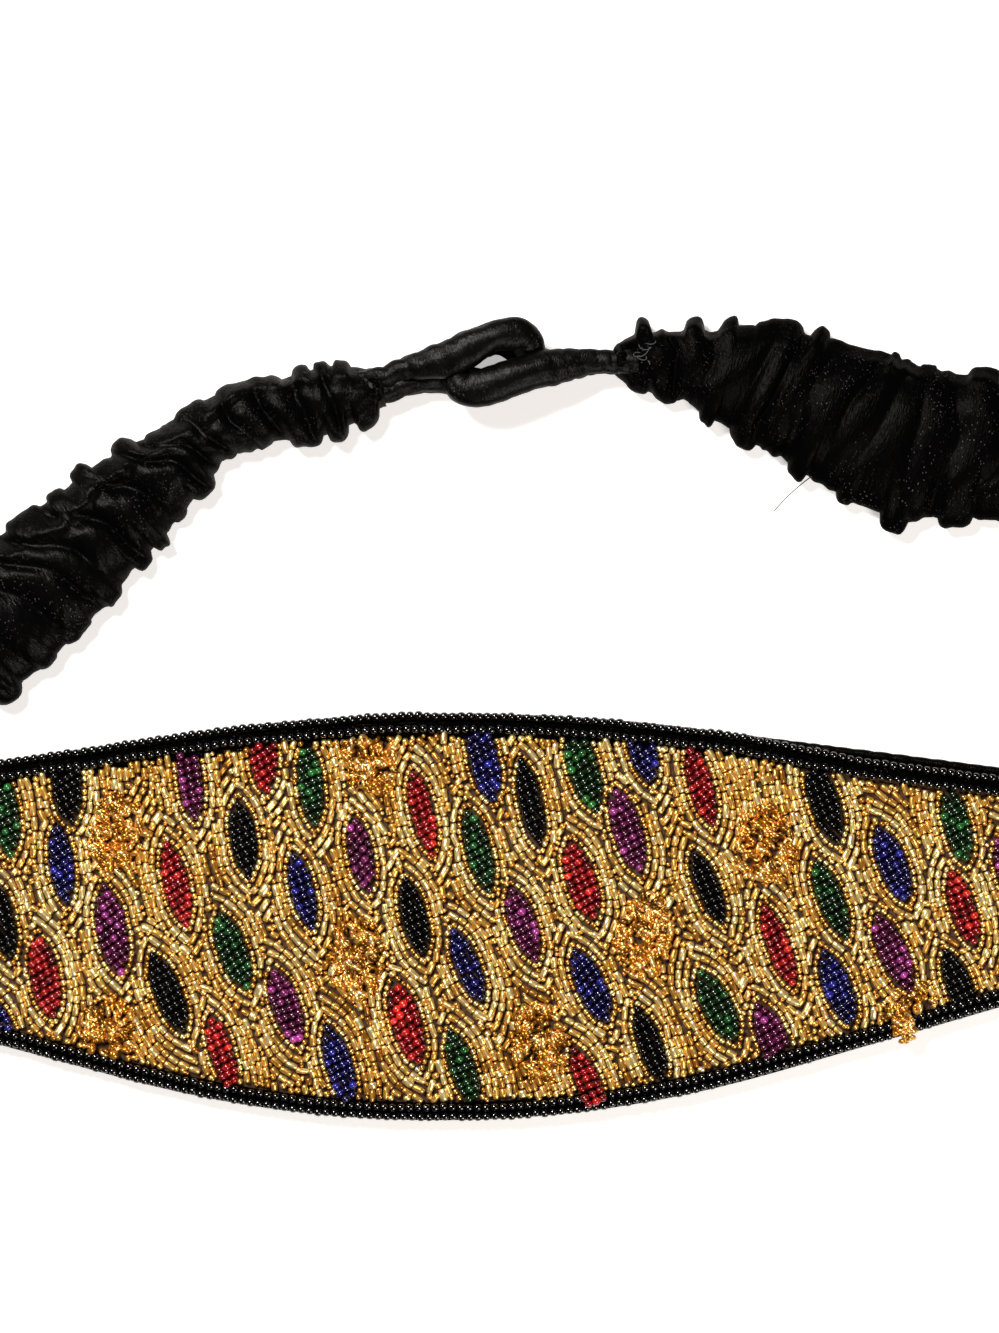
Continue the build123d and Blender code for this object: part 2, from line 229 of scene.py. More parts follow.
def rounded_route(points, radii):
    """A route of straight runs joined by tangent arcs. Gives its length, and a function from
    distances to places and directions: on a run the place moves straight on, and on an arc it is
    start + r sin(turn) forwards + r (1 - cos(turn)) towards the arc's middle."""
    points = np.asarray(points, float)
    pieces, start, total = [], points[0], 0.0
    for index in range(1, len(points)):
        corner = points[index]
        ahead = unit(corner - points[index - 1])
        reach = 0.0
        if index < len(points) - 1:
            onward = unit(points[index + 1] - corner)
            turn = np.arccos(np.clip(ahead @ onward, -1, 1))
            reach = radii[index - 1] * tan(turn / 2)
        end = corner - ahead * reach
        run = np.linalg.norm(end - start)
        pieces.append((total, start, ahead, None, 0))
        total += run
        if reach:
            inwards = unit(onward - ahead * (ahead @ onward))
            arc = radii[index - 1] * turn
            pieces.append((total, end, ahead, inwards, radii[index - 1]))
            total += arc
            start = corner + onward * reach

    def at(distance):
        distance = np.asarray(distance, float)
        place = np.zeros(distance.shape + (3,))
        heading = np.zeros_like(place)
        for low, begin, ahead, inwards, radius in pieces:
            here = (distance >= low) if low > 0 else np.ones(distance.shape, bool)
            gone = (distance[here] - low)[:, None]
            if inwards is None:
                place[here] = begin + gone * ahead
                heading[here] = ahead
            else:
                turn = gone / radius
                place[here] = begin + radius * (np.sin(turn) * ahead + (1 - np.cos(turn)) * inwards)
                heading[here] = np.cos(turn) * ahead + np.sin(turn) * inwards
        return place, heading

    return total, at


# ---- meshes -----------------------------------------------------------------------------
def add_mesh(name, points, quads, triangles=(), tones=None, uv=None):
    """A mesh object from whole arrays of points and faces, in metres, at the origin."""
    quads = np.asarray(quads, np.int32).reshape(-1, 4)
    triangles = np.asarray(triangles, np.int32).reshape(-1, 3)
    corners = np.concatenate([quads.ravel(), triangles.ravel()])
    totals = np.concatenate([np.full(len(quads), 4), np.full(len(triangles), 3)])
    starts = np.concatenate([[0], np.cumsum(totals)[:-1]]).astype(np.int32)
    mesh = bpy.data.meshes.new(name)
    mesh.vertices.add(len(points))
    mesh.vertices.foreach_set("co", np.asarray(points, np.float32).ravel())
    mesh.loops.add(len(corners))
    mesh.loops.foreach_set("vertex_index", corners)
    mesh.polygons.add(len(totals))
    mesh.polygons.foreach_set("loop_start", starts)
    mesh.polygons.foreach_set("use_smooth", np.ones(len(totals), bool))
    mesh.update(calc_edges=True)
    if mesh.validate():
        raise RuntimeError(f"{name} has faces that don't hold together")
    if tones is not None:
        held = mesh.attributes.new("tone", "FLOAT", "POINT")
        held.data.foreach_set("value", np.asarray(tones, np.float32))
    if uv is not None:
        layer = mesh.uv_layers.new(name="along_and_around")
        layer.data.foreach_set("uv", np.asarray(uv, np.float32)[corners].ravel())
    piece = bpy.data.objects.new(name, mesh)
    bpy.context.scene.collection.objects.link(piece)
    return piece


def tube_faces(rows, columns):
    """Quads between the rings of a tube, and triangles that close its ends at two poles, whose
    points come after the rings'."""
    row, column = np.meshgrid(np.arange(rows - 1), np.arange(columns), indexing="ij")
    here = row * columns + column
    beside = row * columns + (column + 1) % columns
    quads = np.stack([here, beside, beside + columns, here + columns], axis=-1).reshape(-1, 4)
    first = np.arange(columns)
    second = (first + 1) % columns
    last, pole = (rows - 1) * columns, np.full(columns, rows * columns)
    low = np.stack([second, first, pole], axis=1)
    high = np.stack([last + first, last + second, pole + 1], axis=1)
    return quads, np.concatenate([low, high])


def around_grid(distance, columns):
    """Each distance and each of so many angles, on the grid (row, around) of a tube."""
    return np.meshgrid(distance, np.arange(columns) * 2 * pi / columns, indexing="ij")


def with_poles(rings):
    """Rings (row, around, value) as one list, and after it the means of the first and last ring."""
    ends = [rings[0].mean(axis=0), rings[-1].mean(axis=0)]
    return np.concatenate([rings.reshape(-1, rings.shape[-1]), ends])


def repeated(faces, count, points):
    """The faces of many copies of a shape that has so many points."""
    return (faces[None] + (np.arange(count) * points)[:, None, None]).reshape(-1, faces.shape[1])


def turned(profile, sides):
    """A closed shape turned about X from (x, radius) pairs: point (x, r cos a, r sin a)."""
    profile = np.asarray(profile, float)
    x, r = np.repeat(profile, sides, axis=0).T
    a = np.tile(np.arange(sides) * 2 * pi / sides, len(profile))
    points = np.stack([x, r * np.cos(a), r * np.sin(a)], axis=1)
    points = np.concatenate([points, [[profile[0, 0], 0, 0], [profile[-1, 0], 0, 0]]])
    return points, *tube_faces(len(profile), sides)


def coil_ring(around_count, tube_count, thickness):
    """A ring about X: ((t/2) sin b, (1/2 - t/2 + (t/2) cos b) (cos a, sin a))."""
    a, b = around_grid(np.arange(around_count) * 2 * pi / around_count, tube_count)
    r = 0.5 - thickness / 2 + thickness / 2 * np.cos(b)
    points = np.stack([thickness / 2 * np.sin(b), r * np.cos(a), r * np.sin(a)], axis=-1).reshape(-1, 3)
    i, j = np.meshgrid(np.arange(around_count), np.arange(tube_count), indexing="ij")
    i2, j2 = (i + 1) % around_count, (j + 1) % tube_count
    quads = np.stack([i * tube_count + j, i2 * tube_count + j, i2 * tube_count + j2,
                      i * tube_count + j2], axis=-1).reshape(-1, 4)
    return points, quads, np.zeros((0, 3), int)


def stamped(shape, centres, along, up, sizes):
    """Copies of a shape: centre + x length along + y width side + z height up, for each bead."""
    points, quads, triangles = shape
    centres, sizes = np.asarray(centres, float), np.asarray(sizes, float)
    along = unit(along)
    side = unit(np.cross(up, along))
    up = np.cross(along, side)
    placed = centres[:, None, :] + (
        points[None, :, 0, None] * sizes[:, None, 0, None] * along[:, None, :]
        + points[None, :, 1, None] * sizes[:, None, 1, None] * side[:, None, :]
        + points[None, :, 2, None] * sizes[:, None, 2, None] * up[:, None, :])
    return (placed.reshape(-1, 3), repeated(quads, len(centres), len(points)),
            repeated(triangles, len(centres), len(points)))


def add_beads(name, shape, centres, along, up, sizes, tones):
    """One mesh of many beads, each with its own tone from 0, dark, to 1, pale."""
    points, quads, triangles = stamped(shape, centres, along, up, sizes)
    return add_mesh(name, points, quads, triangles, np.repeat(tones, len(shape[0])))


def add_tube(name, rings, uv=None):
    """A closed tube from an array of rings (row, around, xyz), with a pole at both ends."""
    if uv is not None:
        uv = with_poles(uv)
    return add_mesh(name, with_poles(rings), *tube_faces(*rings.shape[:2]), uv=uv)


SEED = turned([(-0.5, 0.20), (-0.43, 0.36), (-0.20, 0.49), (0.20, 0.49), (0.43, 0.36), (0.5, 0.20)], 10)
CUT_SEED = turned([(-0.5, 0.22), (-0.30, 0.44), (-0.02, 0.52), (0.28, 0.44), (0.5, 0.22)], 8)
SMALL_SEED = turned([(-0.5, 0.22), (-0.30, 0.46), (0.30, 0.46), (0.5, 0.22)], 7)
BUGLE = turned([(-0.5, 0.26), (-0.44, 0.46), (-0.2, 0.5), (0.2, 0.5), (0.44, 0.46), (0.5, 0.26)], 6)
COIL = coil_ring(9, 5, 0.36)


# ---- shader groups -----------------------------------------------------------------------
def new_group(name, inputs, outputs):
    """An empty shader node group with named sockets, and its input and output nodes."""
    group = bpy.data.node_groups.new(name, "ShaderNodeTree")
    for label, kind, default in inputs:
        socket = group.interface.new_socket(name=label, in_out="INPUT", socket_type=kind)
        if default is not None:
            socket.default_value = default
    for label, kind in outputs:
        group.interface.new_socket(name=label, in_out="OUTPUT", socket_type=kind)
    return group, group.nodes.new("NodeGroupInput"), group.nodes.new("NodeGroupOutput")


def node(tree, kind, links=(), **settings):
    """A new node with its settings, and with sockets linked or set by name or number."""
    made = tree.nodes.new(kind)
    for key, value in settings.items():
        setattr(made, key, value)
    for key, value in dict(links).items():
        if isinstance(value, bpy.types.NodeSocket):
            tree.links.new(value, made.inputs[key])
        else:
            made.inputs[key].default_value = value
    return made


def math(tree, operation, first, second=0.0, clamp=False):
    """One Math node's output."""
    return node(tree, "ShaderNodeMath", {0: first, 1: second}, operation=operation,
                use_clamp=clamp).outputs[0]


def mixed(tree, share, first, second):
    """One colour Mix node's output."""
    return node(tree, "ShaderNodeMix", {0: share, 6: first, 7: second}, data_type="RGBA").outputs[2]


def noise_texture(tree, vector, scale, detail):
    """One Noise Texture node's first output."""
    return node(tree, "ShaderNodeTexNoise", {"Vector": vector, "Scale": scale, "Detail": detail}).outputs[0]


def stepped(tree, value, start, end):
    """One Map Range node's output: 0 at start, 1 at end and a slope between them."""
    return node(tree, "ShaderNodeMapRange", {0: value, 1: start, 2: end, 3: 0.0, 4: 1.0}).outputs[0]


def bead_tone_group():
    """Colour of a bead: dark to middle to light as its tone goes from 0 to 1, with a fine mottle."""
    group, given, out = new_group(
        "bead_tone",
        [("Tone", "NodeSocketFloat", 0.5), ("Dark", "NodeSocketColor", None),
         ("Middle", "NodeSocketColor", None), ("Light", "NodeSocketColor", None),
         ("Mottle", "NodeSocketFloat", 0.15)],
        [("Color", "NodeSocketColor"), ("Height", "NodeSocketFloat")])
    place = node(group, "ShaderNodeTexCoord").outputs["Object"]
    mottle = noise_texture(group, place, 1500.0, 2.0)
    shift = math(group, "MULTIPLY", math(group, "SUBTRACT", mottle, 0.5), given.outputs["Mottle"])
    tone = math(group, "ADD", given.outputs["Tone"], shift, True)
    low = math(group, "MULTIPLY", tone, 2.0, True)
    high = math(group, "SUBTRACT", math(group, "MULTIPLY", tone, 2.0), 1.0, True)
    first = mixed(group, low, given.outputs["Dark"], given.outputs["Middle"])
    group.links.new(mixed(group, high, first, given.outputs["Light"]), out.inputs["Color"])
    group.links.new(mottle, out.inputs["Height"])
    return group


def satin_group():
    """Satin: long floats across the strip, a painted glint of pale specks where its threads would catch the
    light, and soft wear.
    """
    group, given, out = new_group(
        "satin_weave",
        [("Vector", "NodeSocketVector", None), ("Base", "NodeSocketColor", None),
         ("Glint", "NodeSocketColor", None), ("Scale", "NodeSocketFloat", 1.0)],
        [("Color", "NodeSocketColor"), ("Roughness", "NodeSocketFloat"), ("Height", "NodeSocketFloat")])
    where = given.outputs["Vector"]
    stretch = node(group, "ShaderNodeVectorMath", {0: where, 1: (4200.0, 1300.0, 2600.0)},
                   operation="MULTIPLY").outputs[0]
    scaled = node(group, "ShaderNodeVectorMath", {0: stretch, "Scale": given.outputs["Scale"]},
                  operation="SCALE").outputs[0]
    grain = noise_texture(group, scaled, 1.0, 3.0)
    broad = noise_texture(group, where, 140.0, 2.0)
    speck = node(group, "ShaderNodeTexVoronoi", {"Vector": where, "Scale": 2300.0}).outputs[0]
    # painted glint: pale specks, in patches of the broad noise, mixed into the base colour where threads
    # would catch the light
    painted_glint_mask = math(group, "MULTIPLY", stepped(group, speck, 0.20, 0.06), stepped(group, broad, 0.45, 0.70))
    group.links.new(mixed(group, painted_glint_mask, given.outputs["Base"], given.outputs["Glint"]), out.inputs["Color"])
    rough = math(group, "ADD", math(group, "MULTIPLY", broad, 0.16),
                 math(group, "ADD", math(group, "MULTIPLY", grain, 0.14), 0.17))
    group.links.new(rough, out.inputs["Roughness"])
    group.links.new(grain, out.inputs["Height"])
    return group


def cloth_group():
    """Plain weave: two crossed sine ridges, over and under, with a soft mottle."""
    group, given, out = new_group(
        "plain_weave",
        [("Base", "NodeSocketColor", None), ("Thread", "NodeSocketColor", None),
         ("Pitch", "NodeSocketFloat", 2500.0)],
        [("Color", "NodeSocketColor"), ("Height", "NodeSocketFloat")])
    place = node(group, "ShaderNodeTexCoord").outputs["Object"]
    parts = node(group, "ShaderNodeSeparateXYZ", {0: place})
    over = math(group, "SINE", math(group, "MULTIPLY", parts.outputs[0], given.outputs["Pitch"]))
    under = math(group, "SINE", math(group, "MULTIPLY", parts.outputs[1], given.outputs["Pitch"]))
    crossed = math(group, "MULTIPLY", over, under)
    weave = node(group, "ShaderNodeMath", {0: crossed, 1: 0.5, 2: 0.5}, operation="MULTIPLY_ADD").outputs[0]
    mottle = noise_texture(group, place, 300.0, 4.0)
    share = math(group, "MULTIPLY", weave, mottle)
    group.links.new(mixed(group, share, given.outputs["Base"], given.outputs["Thread"]), out.inputs["Color"])
    group.links.new(weave, out.inputs["Height"])
    return group


# ---- materials ---------------------------------------------------------------------------
def new_material(name, **sockets):
    """A material with one Principled shader, whose plain sockets are set here."""
    made = bpy.data.materials.new(name)
    made.use_nodes = True
    tree = made.node_tree
    tree.nodes.clear()
    shader = tree.nodes.new("ShaderNodeBsdfPrincipled")
    out = tree.nodes.new("ShaderNodeOutputMaterial")
    tree.links.new(shader.outputs[0], out.inputs[0])
    for key, value in sockets.items():
        shader.inputs[key.replace("_", " ")].default_value = value
    return made, tree, shader


def add_bump(tree, shader, height, distance):
    """Bump from a height of 0 to 1, which stands for a distance in metres."""
    bump = node(tree, "ShaderNodeBump", {"Height": height, "Distance": distance, "Strength": 1.0})
    tree.links.new(bump.outputs[0], shader.inputs["Normal"])


def rgba(value, factor=1.0):
    """A colour made darker or lighter by a factor, with its fourth number."""
    return (*[min(1.0, c * factor) for c in value], 1.0)


def bead_material(name, group, dark, middle, light, metal, rough=0.22, coat=1.0, mottle=0.2,
                  shine=0.4, dents=0.01 * MM, clear=0.11, coat_ior=1.5):
    """Glass or plated bead: tone from the bead's own attribute, a clear coat for the small glint."""
    made, tree, shader = new_material(
        name, Metallic=metal, Coat_Weight=coat, Coat_Roughness=clear, Coat_IOR=coat_ior,
        Specular_IOR_Level=shine, Roughness=rough)
    tone = node(tree, "ShaderNodeAttribute", attribute_name="tone").outputs["Fac"]
    mixer = node(tree, "ShaderNodeGroup", {"Tone": tone, "Dark": dark, "Middle": middle, "Light": light,
                                           "Mottle": mottle}, node_tree=group)
    tree.links.new(mixer.outputs["Color"], shader.inputs["Base Color"])
    add_bump(tree, shader, mixer.outputs["Height"], dents)
    return made


def satin_material(name, group, base, glint, scale=1.0, on_surface=True, gloss=0.055):
    """Satin that reads the piece's own UV map, or Object coordinates on a plain CAD strip."""
    made, tree, shader = new_material(
        name, Sheen_Weight=gloss * 0.08, Sheen_Roughness=0.35, Sheen_Tint=(0.62, 0.66, 0.8, 1),
        Specular_IOR_Level=gloss)
    where = node(tree, "ShaderNodeTexCoord").outputs["UV" if on_surface else "Object"]
    weave = node(tree, "ShaderNodeGroup", {"Vector": where, "Base": base, "Glint": glint, "Scale": scale},
                 node_tree=group)
    tree.links.new(weave.outputs["Color"], shader.inputs["Base Color"])
    tree.links.new(weave.outputs["Roughness"], shader.inputs["Roughness"])
    add_bump(tree, shader, weave.outputs["Height"], 0.12 * MM)
    return made


def cloth_material(name, group, base, thread, pitch, rough=0.9, depth=0.1 * MM):
    """Matt cloth, felt, webbing or thread with a plain weave."""
    made, tree, shader = new_material(name, Roughness=rough, Sheen_Weight=0.15, Sheen_Roughness=0.5)
    weave = node(tree, "ShaderNodeGroup", {"Base": base, "Thread": thread, "Pitch": pitch},
                 node_tree=group)
    tree.links.new(weave.outputs["Color"], shader.inputs["Base Color"])
    add_bump(tree, shader, weave.outputs["Height"], depth)
    return made


def make_materials():
    """Every finish of the headband, by name."""
    paint = finishes()
    tone, satin, cloth = bead_tone_group(), satin_group(), cloth_group()
    gold_dark, gold, gold_pale = rgba(paint.gold_dark), rgba(paint.gold), rgba(paint.gold_pale)
    # the pale specks on every satin are a painted glint, mixed into its base colour
    satin_base, painted_glint_colour = rgba(paint.satin), (0.14, 0.13, 0.14, 1)
    made = {
        "gold": bead_material("plated_gold_beads", tone, gold_dark, gold, gold_pale, 0.85, 0.35, 0.4,
                              dents=0.06 * MM),
        "pale_gold": bead_material("pale_gold_seeds", tone, gold_dark, gold, gold_pale, 0.85, 0.30, 0.4,
                                   dents=0.04 * MM),
        "copper": bead_material("copper_coils", tone, rgba(paint.copper, 0.16), rgba(paint.copper),
                                (1, 0.70, 0.26, 1), 0.85, 0.32, 0.2, 0.5),
    }
    # clear coloured glass: how dark its darkest beads are, its lightest colour and its metal gleam
    for name, darkest, light, metal in (
            ("red", 0.3, (0.80, 0.03, 0.02, 1), 0.22), ("green", 0.35, (0.02, 0.17, 0.03, 1), 0.15),
            ("blue", 0.4, (0.02, 0.02, 0.30, 1), 0.15), ("purple", 0.4, (0.50, 0.06, 0.36, 1), 0.22)):
        value = getattr(paint, name)
        made[name] = bead_material(f"{name}_glass", tone, rgba(value, darkest), rgba(value), light, metal,
                                   clear=0.06, coat_ior=1.55)
    # jet glass: one even black under a clear coat
    for key, name, dark, share, clear, coat_ior in (
            ("jet", "jet_edge_glass", 0.0005, 0.5, 0.05, 1.8),
            ("black", "black_glass", 0.001, 0.7, 0.06, 1.5)):
        made[key] = bead_material(name, tone, (dark, dark, dark, 1), rgba(paint.black, share),
                                  (0.002, 0.002, 0.002, 1), 0.0, 0.4, shine=0.0, clear=clear,
                                  coat_ior=coat_ior)
    made.update({
        "satin": satin_material("gathered_satin", satin, satin_base, painted_glint_colour),
        "rouleau": satin_material("rouleau_satin", satin, satin_base, painted_glint_colour, 1.3, gloss=0.13),
        "dull_satin": satin_material("dull_gathered_satin", satin, satin_base, painted_glint_colour, gloss=0.017),
        "satin_strip": satin_material("binding_satin", satin, satin_base, painted_glint_colour, 1.0, False, 0.012),
        "lining": satin_material("lining_satin", satin, (0.004, 0.0035, 0.004, 1), painted_glint_colour, 0.7, False),
        "felt": cloth_material("stiff_felt", cloth, (0.006, 0.006, 0.006, 1), (0.02, 0.02, 0.02, 1), 900.0),
        "base_cloth": cloth_material("bead_ground_cloth", cloth, (0.030, 0.011, 0.003, 1),
                                     (0.09, 0.040, 0.010, 1), 5200.0),
        "elastic": cloth_material("elastic_webbing", cloth, (0.01, 0.01, 0.01, 1),
                                  (0.04, 0.04, 0.04, 1), 3000.0),
        "cord": cloth_material("cord_filler", cloth, (0.012, 0.012, 0.012, 1),
                               (0.05, 0.05, 0.05, 1), 4000.0),
        "thread": cloth_material("sewing_thread", cloth, (0.010, 0.011, 0.010, 1),
                                 (0.05, 0.055, 0.05, 1), 9000.0, 0.6, 0.03 * MM),
        "loose_thread": cloth_material("loose_thread_end", cloth, (0.03, 0.035, 0.03, 1),
                                       (0.09, 0.10, 0.08, 1), 9000.0, 0.6, 0.03 * MM),
    })
    return made


MATERIALS = {}


def wear(piece, material):
    """Put one finish on a piece."""
    piece.data.materials.clear()
    piece.data.materials.append(MATERIALS[material])


def finish_with(piece, material, body=None, nodes=()):
    """Material, riding body and the CAD nodes that the piece stands for."""
    wear(piece, material)
    if body:
        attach(piece, body)
    if nodes:
        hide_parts(*nodes)
    return piece


# ---- beadwork layout -----------------------------------------------------------------------
# Motif middles as (column, millimetres above the panel's middle), where a column is a tenth
# of the beaded half length.
MOTIFS = {
    "black": [(-7.55, 0), (-6.45, 19.5), (-4.75, -10.5), (-3.45, 11.5), (-0.55, 0), (1.45, 16),
              (3.45, -18.5), (4.45, 4), (6.45, 16), (8.75, -11), (-9.35, 14)],
    "red": [(-6.85, -8), (-4.6, 5), (-3.85, -19), (-3.1, 23.5), (-0.7, -15), (-0.4, 15),
            (2.3, 5), (2.4, -24), (4.35, 18.5), (5.65, -4.5), (8.8, 0.5), (-8.5, -9)],
    "green": [(-7.5, 15), (-3.65, -4.5), (-2.3, 19), (0.25, -21.5), (0.55, 9.5), (2.35, 21),
              (4.6, -13), (6.55, 2), (8.7, 12.5), (-9.45, -2)],
    "blue": [(-7.6, -16.5), (-6.55, 8), (-2.45, 4), (-1.85, -21), (0.35, -7), (0.65, 22.5),
             (2.45, -10), (3.35, 24), (6.65, -10.5), (7.6, 7), (-8.5, 7)],
    "purple": [(-5.7, -1.5), (-4.35, 20), (-2.75, -12.5), (-1.45, 9), (1.3, -1), (3.1, 12),
               (5.55, -18), (7.6, -5.5), (9.6, 5)],
}
AMBER = [(-5.6, 12), (-5.75, -16), (-1.55, -6), (-1.25, 23), (1.55, -18), (3.35, -3),
         (5.45, 10), (7.9, -15.5)]
AMBER_HALF_SIZE = (3.75 * MM, 5.5 * MM)
BLUNTNESS = 3.0      # the power p in a spindle's side: more makes it blunter
LENGTH_GROWTH = 2.0  # the g in a spindle's length: how much faster its tips move out than its sides


def places_of(pairs):
    """Column and height pairs as places on the panel, in metres."""
    column = (panel().half_length - panel().end_width) / 10
    pairs = np.asarray(pairs, float)
    return np.stack([pairs[:, 0] * column, pairs[:, 1] * MM], axis=1)


def motif_table():
    """Every motif's colour, middle, half length, half width and lean, with small hand-made
    differences."""
    sizes = beads()
    colours = [name for name, pairs in MOTIFS.items() for _ in pairs]
    middles = np.concatenate([places_of(pairs) for pairs in MOTIFS.values()])
    rng = np.random.default_rng(11)
    count = len(colours)
    half_length = sizes.motif_length / 2 * rng.uniform(0.93, 1.08, count)
    half_width = sizes.motif_width / 2 * rng.uniform(0.80, 1.06, count)
    # they stand straighter along the top and at the left, and lean more towards the lower right
    x, y = middles.T / MM
    lean = sizes.motif_tilt + np.radians(np.clip(-0.28 * y + 0.07 * x, -9, 12) + rng.uniform(-5, 5, count))
    return colours, middles, half_length, half_width, lean


def levels(points, table):
    """How far each point lies outside each spindle. Level d's spindle has half width b + d and
    half length a + g d, and its side is at (b + d)(1 - (|v| / (a + g d))^p). Solved by halving."""
    _, middles, half_length, half_width, lean = table
    dx = points[:, None, 0] - middles[None, :, 0]
    dy = points[:, None, 1] - middles[None, :, 1]
    v = np.abs(-np.sin(lean) * dx + np.cos(lean) * dy)
    u = np.abs(np.cos(lean) * dx + np.sin(lean) * dy)
    low = np.broadcast_to(-half_width, v.shape).copy()
    high = np.full(v.shape, 16 * MM)
    for _ in range(17):
        middle = (low + high) / 2
        reach = np.maximum(half_length + LENGTH_GROWTH * middle, 1e-6)
        side = (half_width + middle) * (1 - np.minimum(v / reach, 1.5) ** BLUNTNESS)
        outside = side < u
        low = np.where(outside, middle, low)
        high = np.where(outside, high, middle)
    return high


def in_field(points, margin):
    """Which points lie on the gold ground, at least margin inside its border."""
    sizes = panel()
    x, y = points[:, 0], points[:, 1]
    return ((y < edge_y(1, sizes.upper_band + drift(1, x) + margin, x))
            & (y > edge_y(-1, sizes.lower_band + margin, x))
            & (np.abs(x) < sizes.half_length - sizes.end_width - margin))


def in_amber(points, margin):
    """Which points lie inside an amber patch, whose oval border wavers."""
    middles = places_of(AMBER)
    dx, dy = [(points[:, None, axis] - middles[None, :, axis]) / (AMBER_HALF_SIZE[axis] - margin)
              for axis in (0, 1)]
    waver = 0.16 * noise(5, points[:, 0] / (1.7 * MM), points[:, 1] / (1.7 * MM))
    return (np.hypot(dx, dy).min(axis=1) + waver) < 1


class Sewn:
    """A map of the places already covered by beads, in cells of a tenth of a millimetre."""

    cell = 0.1 * MM

    def __init__(self):
        self.low = np.array([-panel().half_length, -panel().half_height])
        shape = np.ceil(-2 * self.low / self.cell).astype(int) + 1
        self.cover = np.zeros(shape, bool)

    def samples(self, centres, along, length, width, fine):
        """Cell numbers of a lattice of points over each bead's outline."""
        u = np.linspace(-0.5, 0.5, max(3, int(np.max(length, initial=0) / (self.cell * fine))))
        v = np.linspace(-0.5, 0.5, max(3, int(np.max(width, initial=0) / (self.cell * fine))))
        u, v = [part.ravel() for part in np.meshgrid(u, v)]
        across = crosswise(along)
        spots = (centres[:, None] + (u * length[:, None])[..., None] * along[:, None]
                 + (v * width[:, None])[..., None] * across[:, None])
        cells = ((spots - self.low) / self.cell).astype(int)
        return np.clip(cells, 0, np.array(self.cover.shape) - 1)

    def covered(self, centres, along, length, width):
        """Share of each bead's outline that is covered already."""
        cells = self.samples(centres, along, length * 0.9, width * 0.86, 2.0)
        return self.cover[cells[..., 0], cells[..., 1]].mean(axis=1)

    def cover_with(self, centres, along, length, width):
        """Mark the places under each bead as covered."""
        cells = self.samples(centres, along, length, width, 0.8)
        self.cover[cells[..., 0], cells[..., 1]] = True


def spindle_sides(half_length, half_width, level):
    """Both sides of the spindle at a level, from tip to tip, as points in its own frame."""
    reach = half_length + LENGTH_GROWTH * level
    v = reach * np.sin(np.linspace(-pi / 2, pi / 2, 160))
    u = (half_width + level) * (1 - np.abs(v / reach) ** BLUNTNESS)
    return [np.stack([u, v], axis=1), np.stack([-u, v], axis=1)]


def along_line(line, lengths, gap, start):
    """Beads laid end to end along a line: middles, directions and lengths."""
    steps = np.linalg.norm(np.diff(line, axis=0), axis=1)
    distance = np.concatenate([[0], np.cumsum(steps)])
    ends = start + np.cumsum(lengths + gap)
    begins = ends - lengths - gap
    keep = ends < distance[-1] + lengths * 0.4
    begins, ends, lengths = begins[keep], ends[keep] - gap, lengths[keep]

    def at(where):
        return np.stack([np.interp(where, distance, line[:, axis]) for axis in (0, 1)], axis=1)

    first, last = at(begins), at(ends)
    reach = last - first
    size = np.linalg.norm(reach, axis=1)
    good = size > 0.3 * MM
    return (first + last)[good] / 2, reach[good] / size[good][:, None], lengths[good]


def joined(batches):
    """Batches of the same arrays, each kind joined end to end."""
    return [np.concatenate(part) for part in zip(*batches)]


def lay_gold(table):
    """Outline seeds, then rows of bugles that follow the spindles outwards until they meet."""
    sizes = beads()
    _, middles, half_length, half_width, lean = table
    rng = np.random.default_rng(23)
    sewn = Sewn()
    outline, bugles = [], []
    row_level = [sizes.outline_bead / 2]
    row_level += [sizes.outline_bead + sizes.bugle * (0.5 + index) for index in range(11)]
    for row, level in enumerate(row_level):
        for motif in range(len(middles)):
            c, s = cos(lean[motif]), sin(lean[motif])
            turn = np.array([[c, -s], [s, c]])
            for line in spindle_sides(half_length[motif], half_width[motif], level):
                if row == 0:
                    lengths = np.full(60, 0.78 * MM)
                    start, gap, width = 0.1 * MM, 0.16 * MM, sizes.outline_bead
                else:
                    lengths = rng.uniform(sizes.shortest_bugle, sizes.longest_bugle, 80)
                    start, gap, width = rng.uniform(-0.5, 0.5) * MM, 0.10 * MM, sizes.bugle
                centre, along, lengths = along_line(line, lengths, gap, start)
                centre = centre @ turn.T + middles[motif]
                along = along @ turn.T
                # a row ends where another spindle is nearer, and keeps clear of every spindle
                far = levels(centre, table)
                own = far[:, motif].copy()
                far[:, motif] = 1
                keep = in_field(centre, 0.42 * MM) & (far.min(axis=1) > own - 0.35 * MM)
                keep &= far.min(axis=1) > 0.25 * MM
                if row:
                    keep &= ~in_amber(centre, 0.0)
                centre, along, lengths = centre[keep], along[keep], lengths[keep]
                if not len(centre):
                    continue
                widths = np.full(len(centre), width)
                free = sewn.covered(centre, along, lengths, widths) < (0.2 if row else 0.35)
                centre, along, lengths, widths = centre[free], along[free], lengths[free], widths[free]
                if not len(centre):
                    continue
                sewn.cover_with(centre, along, lengths, widths)
                pale = rng.uniform(0.50, 0.95) if row in (1, 2) else rng.uniform(0.15, 0.65)
                tone = pale + rng.normal(0, 0.20, len(centre))
                (bugles if row else outline).append((centre, along, lengths, widths, tone))
    return sewn, joined(outline), joined(bugles)


